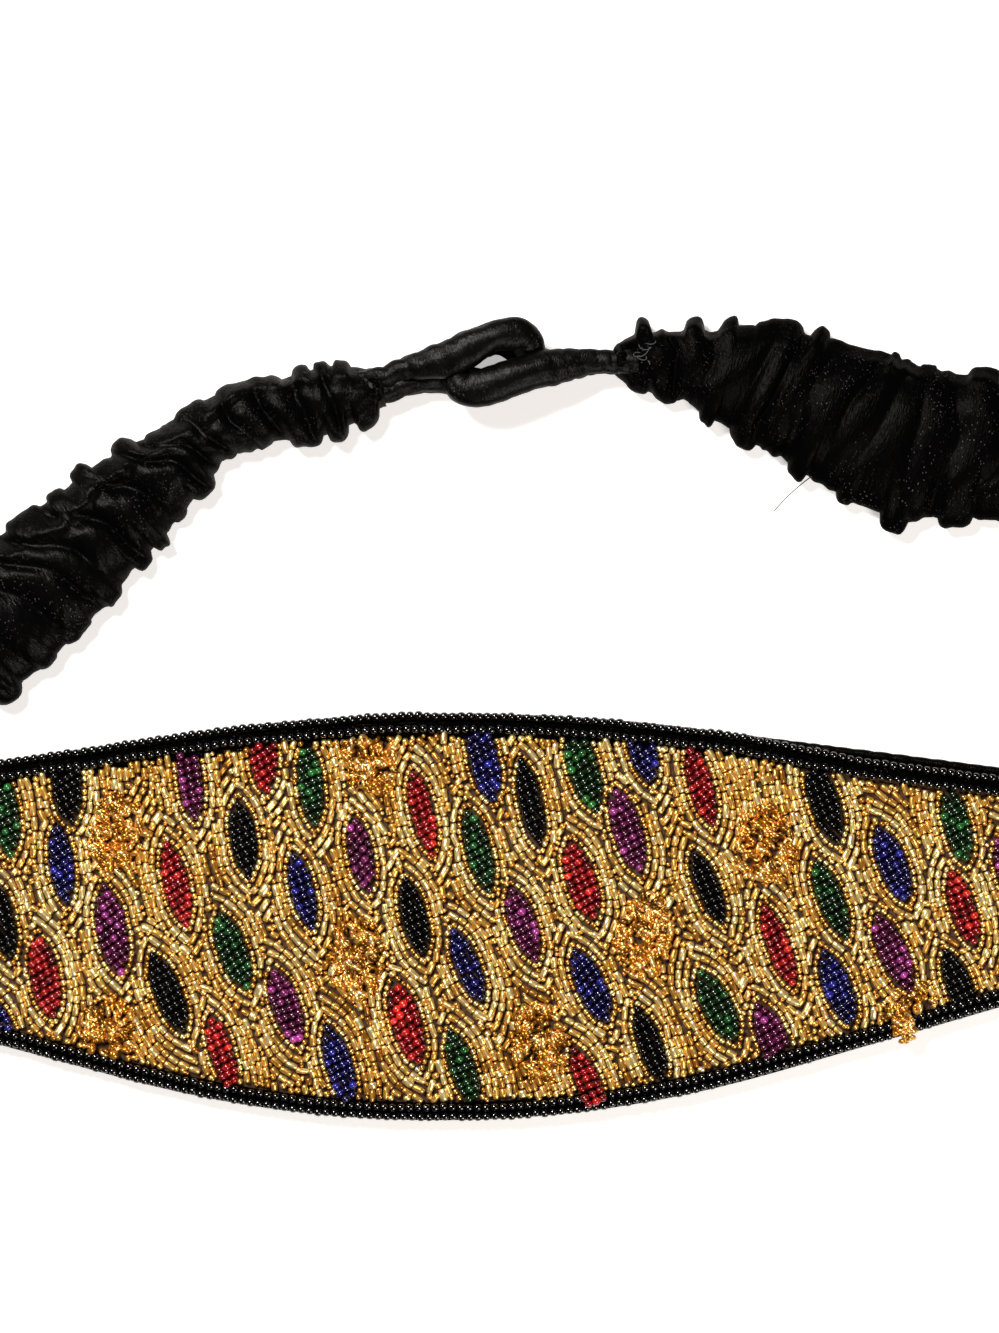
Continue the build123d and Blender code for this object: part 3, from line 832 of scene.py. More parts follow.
def fill_gaps(sewn, table, diameter, rounds, limit, seed):
    """Small seeds in the gaps between the rows, on shifted lattices: in each round every one is sewn
    that has less than the limit's share of its outline covered."""
    rng = np.random.default_rng(seed)
    sizes = panel()
    found = []
    for _ in range(rounds):
        x, y = [np.arange(-half, half, diameter * 1.02) + rng.uniform(0, diameter)
                for half in (sizes.half_length, sizes.half_height)]
        points = np.stack([part.ravel() for part in np.meshgrid(x, y)], axis=1)
        points = points[in_field(points, 0.38 * MM) & ~in_amber(points, 0.2 * MM)]
        points = points[levels(points, table).min(axis=1) > 0.3 * MM]
        heading = rng.uniform(0, pi, len(points))
        along = np.stack([np.cos(heading), np.sin(heading)], axis=1)
        size = np.full(len(points), diameter)
        free = sewn.covered(points, along, size, size) < limit
        points, along, size = points[free], along[free], size[free]
        sewn.cover_with(points, along, size, size)
        found.append((points, along, size))
    return joined(found)


def lifted(flat, height):
    """Places or directions on the panel, with a third coordinate."""
    return np.concatenate([flat, np.broadcast_to(height, len(flat))[:, None]], axis=1)


def upright(count, rng, tilt):
    """Directions near the vertical, each leaning a little."""
    return np.stack([rng.normal(0, tilt, count), rng.normal(0, tilt, count), np.ones(count)], axis=1)


def sewn_down(centre, height, along, rng, slip, turn, tilt):
    """Places, directions and upward directions of beads on the panel, each a little out of place."""
    count = len(centre)
    return (lifted(centre, height) + rng.normal(0, slip, (count, 3)),
            lifted(along, 0) + rng.normal(0, turn, (count, 3)), upright(count, rng, tilt))


# ---- straps -----------------------------------------------------------------------------------
# Strap routes, as corners in millimetres, with the radius of the arc at each inner corner.
# An edge is (distance from the tip, half width) pairs, and its tabs are (distance, width, height);
# "plus" is the edge on the left of the way from the panel to the tip, and "minus" the other.
# "seam_end" is where the fold at the seam ends, "lean" is how far the gathers slant and "ridge" is
# the stitched ridge's place from edge to edge, -1 to 1. The sleeve stretches from "run_start" to "tip".
STRAPS = {
    "left": {
        "route": [(-88.8, 4.3), (-113.3, 4.3), (-116.3, 26.3), (-68.5, 39.0), (-30.5, 71.3), (-8.5, 75.4)],
        "radii": [12.4, 12.4, 26, 26],
        "plus": [(0, 2.6), (2, 3.5), (5, 4.2), (9, 4.6), (14, 3.9), (20, 4.4), (26, 5.0), (31, 4.9),
                 (35, 6.2), (42, 7.6), (48, 7.7), (56, 8.6), (75, 10.2)],
        "plus_tabs": [(5, 2.4, 0.9), (8, 2.4, 1.0), (11.3, 2.6, 1.1), (18, 8.5, 0.9), (26, 4, 0.5),
                      (31, 3, 0.6), (36, 4, 1.5), (43, 3.6, 1.3), (48, 3, 0.8), (53.5, 5.5, 0.9),
                      (60, 3, 0.9)],
        "minus": [(0, 2.6), (2, 3.2), (5, 4.2), (10, 5.0), (18, 4.6), (26, 3.9), (30, 5.1), (38, 6.3),
                  (44, 7.0), (52, 8.9), (60, 9.2), (75, 10.0)],
        "minus_tabs": [(2.8, 3.4, 1.9), (7.4, 3.6, 1.7), (12, 4.2, 1.3), (20, 7, 0.6), (25, 3, 0.4),
                       (31, 3.6, 1.2), (36, 2.6, 0.5), (41, 2.6, 1.6), (44.6, 2.8, 1.3), (51, 3, 0.7),
                       (58, 5, 0.7), (64, 3, 0.5), (70, 3.6, 1.0)],
        "seam_end": 17.2, "seed": 31, "lean": 0.45, "ridge": 0.58,
        "run_start": (-100, 15), "tip": (-10, 75),
    },
    "right": {
        "route": [(88.8, 4.3), (122.2, 4.3), (126.9, 58.1), (66.1, 68.6), (38.1, 79.4), (24.7, 79.4)],
        "radii": [29.2, 29.2, 32, 32],
        "plus": [(0, 2.2), (1.5, 3.6), (3, 4.5), (7, 5.9), (11, 6.1), (13, 7.2), (16, 8.0), (22, 9.0),
                 (28, 9.7), (33, 11.3), (40, 12.4), (45, 12.8), (49, 11.5), (56, 10.6), (70, 10.8)],
        "plus_tabs": [(3, 2.8, 0.4), (7, 3.6, 0.6), (15, 3.6, 1.4), (21.5, 4.2, 1.5), (26, 3, 0.5),
                      (30.5, 2.8, 1.6), (38, 2.6, 0.7), (44, 3.0, 2.2), (52, 4.6, 1.5), (60, 3.4, 0.9)],
        "minus": [(0, 1.4), (1.5, 2.8), (3, 3.5), (6, 3.8), (13, 4.1), (15, 5.3), (17, 6.0), (20, 6.9),
                  (24, 7.8), (29, 8.8), (38, 9.5), (49, 9.4), (60, 9.9), (75, 10.6)],
        "minus_tabs": [(4, 2.2, 2.1), (11, 2.5, 1.8), (15.2, 2.0, 1.5), (21.5, 6.6, 1.5), (27, 2.7, 1.3),
                       (38, 1.6, 0.6), (44, 3, 0.5), (53, 5, 1.3), (61, 3, 0.8)],
        "seam_end": 26.2, "seed": 47, "lean": -0.12, "ridge": -0.70,
        "run_start": (108, 20), "tip": (26, 79),
    },
}
STRAP_HEIGHT = 3 * MM     # the straps' middle line over the table
SEAM_HALF_WIDTH = 10.5 * MM
HAND_LAID = 66 * MM       # how far from the tip the edges keep to the pairs and tabs above


def strap_route(spec):
    """Length of a strap's route, and its function from distances to places and directions."""
    return rounded_route([(x * MM, y * MM, STRAP_HEIGHT) for x, y in spec["route"]],
                         [radius * MM for radius in spec["radii"]])


def fold_wave(seed, total, shortest, longest, where):
    """A wave of uneven folds: each one is |cos(phase / 2)|, which is round on top and sharp
    between two folds. Also gives each fold's own random height."""
    rng = np.random.default_rng(seed)
    knots = np.cumsum(rng.uniform(shortest, longest, int(total / shortest) + 40)) - 20 * MM
    phase = np.interp(where, knots, np.arange(len(knots)) * 2 * pi)
    wave = np.abs(np.cos(phase / 2))
    height = np.interp(where, knots, rng.uniform(0.45, 1.25, len(knots)))
    return wave, height


def edge_width(pairs, tabs, seed, total, s):
    """Half width of a gathered edge: straight lines between the pairs, plus rounded tabs
    h (1 - (2 d / w)^3.2)^(1/2), and beyond the listed stretch a wave of uneven tabs."""
    from_tip = total - s
    pairs = np.array(pairs, float) * MM
    width = np.interp(from_tip, pairs[:, 0], pairs[:, 1])
    for middle, across, height in tabs:
        away = np.abs(from_tip - middle * MM) / (across * MM / 2)
        width = width + height * MM * np.sqrt(np.maximum(0, 1 - np.minimum(away, 1) ** 3.2))
    wave, own = fold_wave(seed, total, 2.6 * MM, 6.4 * MM, s)
    rest = ease(from_tip, HAND_LAID, HAND_LAID + 5 * MM)
    width = width + straps().frill * own * (wave**0.5 - 0.75) * rest
    return width + 0.25 * MM * noise(seed + 1, s / (1.1 * MM))


def gathers(spec, total, s, across, half, narrow):
    """Height of the folds across a sleeve: uneven waves that lean, wander and die away on their way
    across, finer ones between them, and a long low ridge where the casing was stitched shut."""
    seed = spec["seed"]
    wander = 1.9 * MM * noise(seed, s / (8 * MM), across * 1.2 + 9)
    shifted = s + spec["lean"] * across * half + wander
    wave, own = fold_wave(seed + 1, total, 3.2 * MM, 7.6 * MM, shifted)
    crease = (1 - wave) ** 1.7
    fine, fine_own = fold_wave(seed + 2, total, 1.5 * MM, 3.6 * MM, s + wander * 1.7 - 0.35 * across * half)
    fade = np.clip(0.55 + 0.75 * noise(seed + 3, s / (5 * MM), across * 1.8), 0.05, 1.2)
    deep = straps().fold_height * (1.25 - 0.45 * narrow)
    fold = deep * (0.75 * own * (wave - 0.62) - 1.05 * crease * fade
                   + 0.34 * fine_own * (fine - 0.6) * (0.35 + 0.65 * across**2))
    ridge_at = spec["ridge"] + 0.14 * noise(seed + 9, s / (11 * MM))
    from_ridge = (across - ridge_at) * half / (0.9 * MM)
    ridge = np.exp(-from_ridge ** 2) - 0.7 * np.exp(-(from_ridge + 1.7) ** 2)
    return fold + 0.55 * MM * ridge * (0.65 + 0.5 * noise(seed + 10, s / (7 * MM)))


def sleeve_rings(spec, rows_per_mm=3.8, columns=92):
    """A gathered tube: a flattened oval (w cos a, f |sin a|^0.5 + (h - f) |sin a|^1.1), f being half
    the edges' thickness, carried along the strap's route, with folds across it, thin edges with
    tabs of their own, and its underside on the table."""
    total, at = strap_route(spec)
    distance = np.linspace(0, total, int(total / MM * rows_per_mm))
    place, heading = at(distance)
    side = crosswise(heading)
    s, a = around_grid(distance, columns)
    from_tip = total - s
    seed = spec["seed"]
    plus = edge_width(spec["plus"], spec["plus_tabs"], seed + 4, total, distance)[:, None]
    minus = edge_width(spec["minus"], spec["minus_tabs"], seed + 5, total, distance)[:, None]
    plus, minus = np.minimum(plus, SEAM_HALF_WIDTH + s), np.minimum(minus, SEAM_HALF_WIDTH + s)
    half = (plus + minus) / 2
    across = np.cos(a)
    narrow = np.clip(half / SEAM_HALF_WIDTH, 0.2, 1.1)
    fold = gathers(spec, total, s, across, half, narrow)
    # the cloth leaves the middle evenly, so an edge tab also lifts the fold behind it
    smooth_half = np.convolve(np.pad(half[:, 0], 30, mode="edge"), np.ones(61) / 61, "valid")[:, None]
    lift = np.where(across > 0, plus, minus) - smooth_half
    fold = fold + 0.45 * np.clip(lift, -1.2 * MM, 1.6 * MM) * np.abs(across) ** 2
    up = np.sin(a)
    thick = straps().thickness / 2 * (0.72 + 0.28 * np.minimum(narrow, 1))
    fin, lying = 0.5 * MM, 2.85 * MM
    body = np.sign(up) * (fin * np.abs(up) ** 0.5 + (thick - fin) * np.abs(up) ** 1.1)
    droop = 0.9 * MM * np.abs(across) ** 3
    x = np.where(across > 0, plus, minus) * across
    z = lying - droop + body + fold * np.where(up > 0, 0.45 + 0.55 * np.abs(up), 0.3)
    z = z + 0.25 * MM * noise(seed + 7, s / (15 * MM), across) * (up > 0)
    mouth = 1 - ease(from_tip, 0, 2.4 * MM)
    z = z + np.sign(up) * np.abs(up) ** 0.5 * 0.35 * MM * mouth
    # what would sink below the table flattens out just above it
    floor, soft = 0.06 * MM, 0.4 * MM
    z = np.where(z < floor + soft, floor + soft * np.exp((z - floor - soft) / soft), z)
    slip = 0.55 * MM * noise(seed + 8, s / (3.1 * MM), across * 1.6) * (0.4 + 0.6 * np.abs(across))
    rings = place[:, None, :2] + x[..., None] * side[:, None] + slip[..., None] * heading[:, None, :2]
    rings = np.concatenate([rings, z[..., None]], axis=2)
    cloth_round = 42 * MM
    return distance, rings, np.stack([s, a / (2 * pi) * cloth_round], axis=-1)


def oblong(a, power):
    """A rounded oblong as wide and high as 2: x = cos a with its size raised to a power below 1,
    and z = sin a likewise."""
    return [np.sign(value) * np.abs(value) ** power for value in (np.cos(a), np.sin(a))]


def elastic_rings(spec, columns=12):
    """A flat band run along the middle of a sleeve to a little short of its tip: a rounded oblong
    carried along the strap's route."""
    sizes = straps()
    total, at = strap_route(spec)
    distance = np.linspace(0, total - 6 * MM, 420)
    place, heading = at(distance)
    side = lifted(crosswise(heading), 0)
    s, a = around_grid(distance, columns)
    x, z = oblong(a, 0.4)
    x, z = x * sizes.elastic_width / 2, z * sizes.elastic_thickness / 2
    rings = place[:, None] + x[..., None] * side[:, None] + z[..., None] * np.array([0, 0, 1])
    return distance, rings, np.stack([s, a / (2 * pi) * 12 * MM], axis=-1)


# Each rouleau's way through the link, as (along the link, across it, height) in millimetres from
# the link's middle. The right loop is laid likewise, turned half round, with its own neck.
STRANDS = {
    "left": [(-12.6, 1.45, -0.2), (-9.0, 1.4, 0.9), (-4.8, 1.45, 2.0), (-1.2, 2.5, 2.4), (1.6, 2.9, 2.4),
             (4.4, 2.5, 1.9), (5.3, 1.2, 0.9), (5.2, -0.6, -0.6), (4.2, -2.2, -1.7), (2.0, -2.9, -2.4),
             (-1.2, -3.0, -2.5), (-4.8, -1.9, -2.6), (-8.8, -0.7, -2.0), (-12.6, -0.8, -1.2)],
    "right": [(13.5, -3.3, 0.1), (9.0, -3.05, 1.2), (6.4, -2.95, 1.9), (3.0, -3.15, 2.4), (0.2, -3.5, 2.4),
              (-2.6, -3.7, 2.3), (-4.5, -3.2, 1.7), (-5.2, -1.6, 0.5), (-5.0, 0.6, -0.9), (-4.0, 2.2, -1.9),
              (-1.8, 2.95, -2.4), (1.4, 2.75, -2.6), (4.0, 1.0, -2.6), (6.4, -1.4, -2.6), (9.0, -2.9, -2.1),
              (13.5, -3.4, -1.3)],
}
LINK = (7.1, 79.1, 4.0)  # the link's middle, in millimetres
LINK_TURN = radians(12)  # the link's slope across the table
# Where each sleeve ends, and which way its mouth faces.
TIPS = {"left": ((-8.5, 75.6), radians(10.56)), "right": ((24.9, 78.8), pi)}


def flat_directions(turn):
    """The direction turned so far from X, and the one on its left."""
    return np.array([cos(turn), sin(turn), 0]), np.array([-sin(turn), cos(turn), 0])


def strand_line(name):
    """Middle line of one rouleau, through its points by the Catmull-Rom formula: between points 1
    and 2, (2 p1 + (p2 - p0) t + (2 p0 - 5 p1 + 4 p2 - p3) t^2 + (3 p1 - p0 - 3 p2 + p3) t^3) / 2.
    Evenly spaced, with directions."""
    along, across = flat_directions(LINK_TURN)
    points = np.array(STRANDS[name], float)
    points = np.array(LINK) + points[:, :1] * along + points[:, 1:2] * across + points[:, 2:] * [0, 0, 1]
    tip, heading = TIPS[name]
    ahead, aside = flat_directions(heading)
    mouth = np.array([*tip, 3.1])
    over = aside * 1.1 + [0, 0, 0.3] if name == "left" else aside * 0.1 + [0, 0, 0.75]
    under = -over
    points = np.concatenate([[mouth - ahead * 3 + over, mouth + ahead * 0.5 + over], points,
                             [mouth + ahead * 0.5 + under, mouth - ahead * 3 + under]])
    ends = np.concatenate([[2 * points[0] - points[1]], points, [2 * points[-1] - points[-2]]])
    t = np.linspace(0, len(points) - 1 - 1e-9, 1200)
    i = t.astype(int)
    t = (t - i)[:, None]
    p0, p1, p2, p3 = ends[i], ends[i + 1], ends[i + 2], ends[i + 3]
    line = (2 * p1 + (p2 - p0) * t + (2 * p0 - 5 * p1 + 4 * p2 - p3) * t**2
            + (3 * p1 - p0 - 3 * p2 + p3) * t**3) / 2 * MM
    walked = np.concatenate([[0], np.cumsum(np.linalg.norm(np.diff(line, axis=0), axis=1))])
    distance = np.linspace(0, walked[-1], int(walked[-1] / (0.2 * MM)))
    line = np.stack([np.interp(distance, walked, line[:, axis]) for axis in range(3)], axis=1)
    return distance, line, unit(np.gradient(line, axis=0))


def level_and_square(heading):
    """Level directions square to the headings, and the directions square to both."""
    level = unit(np.cross([0, 0, 1], heading))
    return level, np.cross(heading, level)


def loop_rings(name, seed, columns=40):
    """A flattened rouleau: an oval (w cos a, t sin a) carried along its line, wide beside the
    link and narrow at the neck, with small wrinkles across it."""
    sizes = straps()
    distance, line, heading = strand_line(name)
    total = distance[-1]
    flat_side, upward = level_and_square(heading)
    s, a = around_grid(distance, columns)
    from_end = np.minimum(s, total - s)
    open_up = ease(from_end, 5 * MM, 14 * MM)
    bight = 1 - ease(np.abs(s - total / 2), 2.0 * MM, 5.5 * MM)
    narrow = 1.55 * MM if name == "left" else 1.75 * MM
    width = narrow + (sizes.strand_width / 2 - narrow) * open_up - 0.25 * MM * bight
    # the upper strand is pinched beside the eye, and the lower one is pressed narrower
    eye = np.exp(-((s - total * 0.37) / (2.6 * MM)) ** 2) * (name == "left")
    width = width - 0.45 * MM * eye
    thick = 1.0 * MM + (sizes.strand_thickness / 2 - 1.0 * MM) * open_up
    below = ease(s, total / 2 + 2 * MM, total / 2 + 6 * MM)
    width = width * (1 - 0.18 * below * (1 if name == "right" else open_up))
    wrinkle, own = fold_wave(seed, total, 1.4 * MM, 3.6 * MM, s + 0.8 * MM * np.cos(a + 1.0))
    calm = 0.4 + 0.9 * (1 - open_up) + 0.4 * bight
    puff = (0.20 * MM * own * (wrinkle - 0.6) * calm
            + 0.10 * MM * noise(seed + 1, s / (1.4 * MM), a * 1.2)
            + 0.12 * MM * noise(seed + 2, s / (4 * MM), a * 0.6))
    # a soft crease runs along the top of the flattened band
    depth = 0.5 + 0.5 * noise(seed + 3, s / (5 * MM))
    crease = 0.16 * MM * np.exp(-((np.cos(a) - 0.45) / 0.16) ** 2) * depth
    rings = (line[:, None] + ((width + puff) * np.cos(a))[..., None] * flat_side[:, None]
             + ((thick + puff - crease * (np.sin(a) > 0)) * np.sin(a))[..., None] * upward[:, None])
    uv = np.stack([s, a / (2 * pi) * 12 * MM], axis=-1)
    return rings, uv


def cord_rings(name, radius=0.7 * MM, columns=12):
    """The filler inside a rouleau: a round cord (r cos a, r sin a) along the same line."""
    _, line, heading = strand_line(name)
    line, heading = line[6:-6:3], heading[6:-6:3]
    flat_side, upward = level_and_square(heading)
    a = np.arange(columns)[None, :, None] * 2 * pi / columns
    return line[:, None] + radius * (np.cos(a) * flat_side[:, None] + np.sin(a) * upward[:, None])


def thread_rings(line, radius, columns=7):
    """A round tube about a line of points."""
    heading = unit(np.gradient(line, axis=0))
    reference = np.where(np.abs(heading[:, 2:]) > 0.9, [[1.0, 0, 0]], [[0, 0, 1.0]])
    side = unit(np.cross(reference, heading))
    up = np.cross(heading, side)
    a = np.arange(columns)[None, :, None] * 2 * pi / columns
    return line[:, None] + radius * (np.cos(a) * side[:, None] + np.sin(a) * up[:, None])


# ---- operators ---------------------------------------------------------------------------------
class Piece(bpy.types.Operator):
    """Shared options of the operators"""
    bl_options = {"REGISTER", "UNDO"}


class HEADBAND_OT_finishes(Piece):
    """Make every finish and put them on the CAD pieces that stay in view"""
    bl_idname = "headband.finishes"
    bl_label = "Finishes"

    def execute(self, context):
        MATERIALS.update(make_materials())
        kept = {
            "lining": "lining", "interlining": "felt", "ground_fabric": "base_cloth",
            "upper_edge_binding": "satin_strip", "lower_edge_binding": "satin_strip",
        }
        for name, finish in kept.items():
            wear(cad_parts[name], finish)
        return {"FINISHED"}


class HEADBAND_OT_beadwork(Piece):
    """Sew the gold rows, the outlines, the filling seeds and the amber coils"""
    bl_idname = "headband.beadwork"
    bl_label = "Gold beadwork"

    def execute(self, context):
        sizes, top = beads(), panel().fabric_top
        table = motif_table()
        sewn, outline, bugles = lay_gold(table)
        rng = np.random.default_rng(5)
        seeds = fill_gaps(sewn, table, sizes.seed, rounds=14, limit=0.22, seed=61)
        small = fill_gaps(sewn, table, 0.62 * MM, rounds=10, limit=0.25, seed=62)

        centre, along, lengths, widths, _ = outline
        count = len(centre)
        size = np.stack([lengths, widths, widths], axis=1) * rng.uniform(0.92, 1.1, (count, 1))
        where = sewn_down(centre, top + 0.5 * MM + on_strip(centre), along, rng, 0.05 * MM, 0.06, 0.1)
        piece = add_beads("gold_outline_seeds", SMALL_SEED, *where, size, rng.uniform(0, 1, count))
        finish_with(piece, "pale_gold", "front", ["gold_outline_beads"])

        centre, along, lengths, widths, tone = bugles
        count = len(centre)
        size = np.stack([lengths, widths * 1.14, widths], axis=1)
        size[:, 1:] *= rng.uniform(0.92, 1.06, (count, 1))
        nugget = rng.uniform(0, 1, count) < 0.04
        size[nugget, 1:] *= 1.35
        tone = np.where(nugget, 1.0, tone + 0.35 * (rng.uniform(0, 1, count) < 0.12))
        slip = 0.06 * MM * np.array([0.5, 0.5, 1])
        where = sewn_down(centre, top + 0.48 * MM + on_strip(centre), along, rng, slip, 0.10, 0.5)
        piece = add_beads("gold_bugle_rows", BUGLE, *where, size, tone)
        finish_with(piece, "gold", "front", ["gold_bead_ground"])

        for name, (centre, along, width), slip in (
                ("gold_filling_seeds", seeds, 0.08 * MM), ("gold_small_seeds", small, 0.12 * MM)):
            count = len(centre)
            size = np.stack([width * rng.uniform(0.8, 1.25, count), width, width], axis=1) * 1.02
            where = sewn_down(centre, top + 0.42 * MM + on_strip(centre), along, rng, slip, 0.25, 0.3)
            tone = np.clip(rng.normal(0.45, 0.25, count), 0, 1)
            piece = add_beads(name, SMALL_SEED, *where, size, tone)
            finish_with(piece, "gold", "front", ["gold_bead_ground"])

        self.amber(table, rng)
        return {"FINISHED"}

    def amber(self, table, rng):
        """Tangled coil beads, thrown at random over the patches and kept where they fit."""
        top = panel().fabric_top
        middles = places_of(AMBER)
        points = np.repeat(middles, 9000 // len(middles), axis=0)
        points = points + rng.uniform(-1, 1, points.shape) * [4.4 * MM, 6.2 * MM]
        # the patch nearest the right end hangs over the lower edging
        hangs = np.hypot(points[:, 0] - 64.6 * MM, (points[:, 1] + 15.9 * MM) / 1.35) < 1.7 * MM
        points = points[in_amber(points, -0.1 * MM) & (in_field(points, 0.4 * MM) | hangs)
                        & (levels(points, table).min(axis=1) > 0.75 * MM)]
        points = points[rng.permutation(len(points))[:1250]]
        count = len(points)
        axis = unit(rng.normal(0, 1, (count, 3)) * [1, 1, 0.55])
        width = rng.uniform(1.3, 2.1, count) * MM
        size = np.stack([width * rng.uniform(0.8, 1.5, count), width,
                         width * rng.uniform(0.7, 1, count)], axis=1)
        height = top + 0.42 * MM + 0.22 * MM * rng.uniform(0, 1, count)
        height = height + on_strip(points) + over_edging(points)
        piece = add_beads("amber_coils", COIL, lifted(points, height), axis,
                          unit(rng.normal(0, 1, (count, 3))), size, rng.uniform(0, 1, count))
        finish_with(piece, "copper", "front", ["amber_coil_beads"])


class HEADBAND_OT_motifs(Piece):
    """Fill every spindle with slanting rows of coloured seed beads"""
    bl_idname = "headband.motifs"
    bl_label = "Coloured motifs"

    def execute(self, context):
        sizes, top = beads(), panel().fabric_top
        table = motif_table()
        colours, middles = table[:2]
        rng = np.random.default_rng(77)
        gathered = {name: [] for name in MOTIFS}
        # the eighth red and the fourth blue spindle run on over the lower edging, so far in millimetres
        overhang = {colours.index("red") + 7: 1.9, colours.index("blue") + 3: 0.5}
        for motif, name in enumerate(colours):
            slant = sizes.row_slant + rng.normal(0, 0.10)
            ahead = np.array([cos(slant), sin(slant)])
            across = np.array([-ahead[1], ahead[0]])
            step = sizes.motif_bead * 0.97
            # each row reaches from side to side, with as many beads as fit evenly
            rows = (np.arange(-8, 9) + rng.uniform(-0.4, 0.4)) * step
            reach = np.linspace(-5 * MM, 5 * MM, 120)
            spots = rows[:, None, None] * across + reach[None, :, None] * ahead + middles[motif]
            inside = levels(spots.reshape(-1, 2), table)[:, motif].reshape(len(rows), -1) < 0.02 * MM
            for row, held in zip(rows, inside):
                if not held.any():
                    continue
                begin, end = reach[held][0], reach[held][-1]
                count = max(1, round((end - begin) / (sizes.motif_bead * 0.90)))
                places = begin + (end - begin) * (np.arange(count) + 0.5) / count
                points = row * across + places[:, None] * ahead + middles[motif]
                points = points[in_field(points, -overhang.get(motif, -0.05) * MM)]
                points = points + rng.normal(0, 0.05 * MM, points.shape)
                heading = slant + rng.normal(0, 0.10, len(points))
                gathered[name].append((points, np.stack([np.cos(heading), np.sin(heading)], axis=1)))
        for name, parts in gathered.items():
            points, along = joined(parts)
            count = len(points)
            size = np.array([1.02, 1.0, 1.0]) * sizes.motif_bead * rng.uniform(0.9, 1.04, (count, 1))
            height = top + sizes.motif_bead * 0.5 + 0.06 * MM * rng.normal(0, 1, count)
            height = height + on_strip(points) + over_edging(points)
            tone = rng.normal(0.38, 0.18, count) + 0.35 * (rng.uniform(0, 1, count) < 0.12)
            piece = add_beads(f"{name}_motif_seeds", CUT_SEED, lifted(points, height),
                              lifted(along, 0) + rng.normal(0, 0.12, (count, 3)), upright(count, rng, 0.5),
                              size, np.clip(tone, 0, 1))
            finish_with(piece, name, "front", [f"{name}_motif_beads"])
        return {"FINISHED"}


class HEADBAND_OT_edging(Piece):
    """String the four edge rows, and make the piping and the end strips"""
    bl_idname = "headband.edging"
    bl_label = "Edging"

    def execute(self, context):
        sizes, bead = panel(), beads().edge_bead
        rng = np.random.default_rng(3)
        reach = sizes.half_length - sizes.end_width - 1.2 * MM
        rows = (("upper_outer", 1, sizes.upper_outer_row), ("upper_inner", 1, sizes.upper_inner_row),
                ("lower_outer", -1, sizes.lower_outer_row), ("lower_inner", -1, sizes.lower_inner_row))
        for name, side, inset in rows:
            x = np.linspace(-reach, reach, 2400)
            line = np.stack([x, edge_y(side, inset + drift(side, x), x)], axis=1)
            lengths = 1.06 * MM * rng.uniform(0.92, 1.08, 400)
            centre, along, lengths = along_line(line, lengths, gap=0.13 * MM, start=0)
            count = len(centre)
            wander = 0.16 * MM * noise(8 + len(name) + side, centre[:, 0] / (5 * MM))
            wander = crosswise(along) * (wander + rng.normal(0, 0.06 * MM, count))[:, None]
            size = np.stack([lengths, np.full(count, bead), np.full(count, bead)], axis=1)
            size[:, 1:] *= rng.uniform(0.9, 1.04, (count, 1))
            # in the middle the upper outer row lies on the piping, a little lower than the strip
            inset = side * edge_y(side, 0, centre[:, 0]) - side * centre[:, 1]
            on_binding = ease(inset, 1.0 * MM, 1.5 * MM) if side > 0 else 1
            on = sizes.fabric_top + (sizes.binding_top - sizes.fabric_top) * on_binding
            piece = add_beads(f"{name}_row_beads", SEED, lifted(centre + wander, on + bead / 2),
                              lifted(along, 0) + rng.normal(0, 0.07, (count, 3)), upright(count, rng, 0.1),
                              size, rng.uniform(0, 1, count))
            finish_with(piece, "jet", "front", [f"{name}_bead_row"])
        # piping: a round tube along the upper edge, pinched a little at every stitch
        radius = sizes.piping / 2
        x = np.linspace(-reach - 1.2 * MM, reach + 1.2 * MM, 900)
        line = lifted(np.stack([x, edge_y(1, radius + 0.12 * MM, x)], axis=1), sizes.fabric_top - radius)
        wave, own = fold_wave(9, 2 * reach, 1.8 * MM, 3.4 * MM, x + reach)
        columns = 16
        rings = thread_rings(line, radius, columns)
        middle = line[:, None]
        swell = (0.90 + 0.14 * own * wave)[:, None, None]
        rings = middle + (rings - middle) * np.minimum(swell, 1.1)
        uv = np.stack(np.meshgrid(x + reach, np.arange(columns) * 4 * MM / columns, indexing="ij"), axis=-1)
        piece = add_tube("upper_piping_satin", rings, uv)
        finish_with(piece, "satin", "front", ["upper_edge_piping"])
        for name, side in (("left", -1), ("right", 1)):
            self.end_strip(name, side)
        return {"FINISHED"}

    def end_strip(self, name, side):
        """A satin strip folded round a panel end: a rounded oblong carried from the lower corner to
        the upper one, with gathers that fan out from the strap."""
        low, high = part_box(f"{name}_end_binding")
        half_x, half_z = (high.x - low.x) / 2, (high.z - low.z) / 2
        middle_x = (high.x + low.x) / 2
        rows, columns = 150, 56
        t, a = around_grid(np.linspace(0, 1, rows), columns)
        x, z = oblong(a, 0.42)
        close = np.minimum(1, np.sqrt(np.minimum(t, 1 - t) / 0.02 + 0.04))
        run = 31 * MM
        wave, own = fold_wave(70 + side, run, 1.6 * MM, 3.0 * MM, t * run)
        at_x = middle_x + half_x * x * (0.96 + 0.04 * close)
        gather = 0.22 * MM * own * (wave - 0.7) * (z > 0.2) * (0.5 + 0.5 * x * side)
        y_low, y_high = edge_y(-1, 0, at_x), edge_y(1, 0, at_x)
        y = y_low + (y_high - y_low) * t
        at_z = half_z + half_z * z * close + gather
        rings = np.stack([at_x, y, np.maximum(at_z, 0.02 * MM)], axis=-1)
        uv = np.stack([a * 2 * MM, t * run], axis=-1)
        piece = add_tube(f"{name}_end_strip", rings, uv)
        finish_with(piece, "satin", "front", [f"{name}_end_binding"])


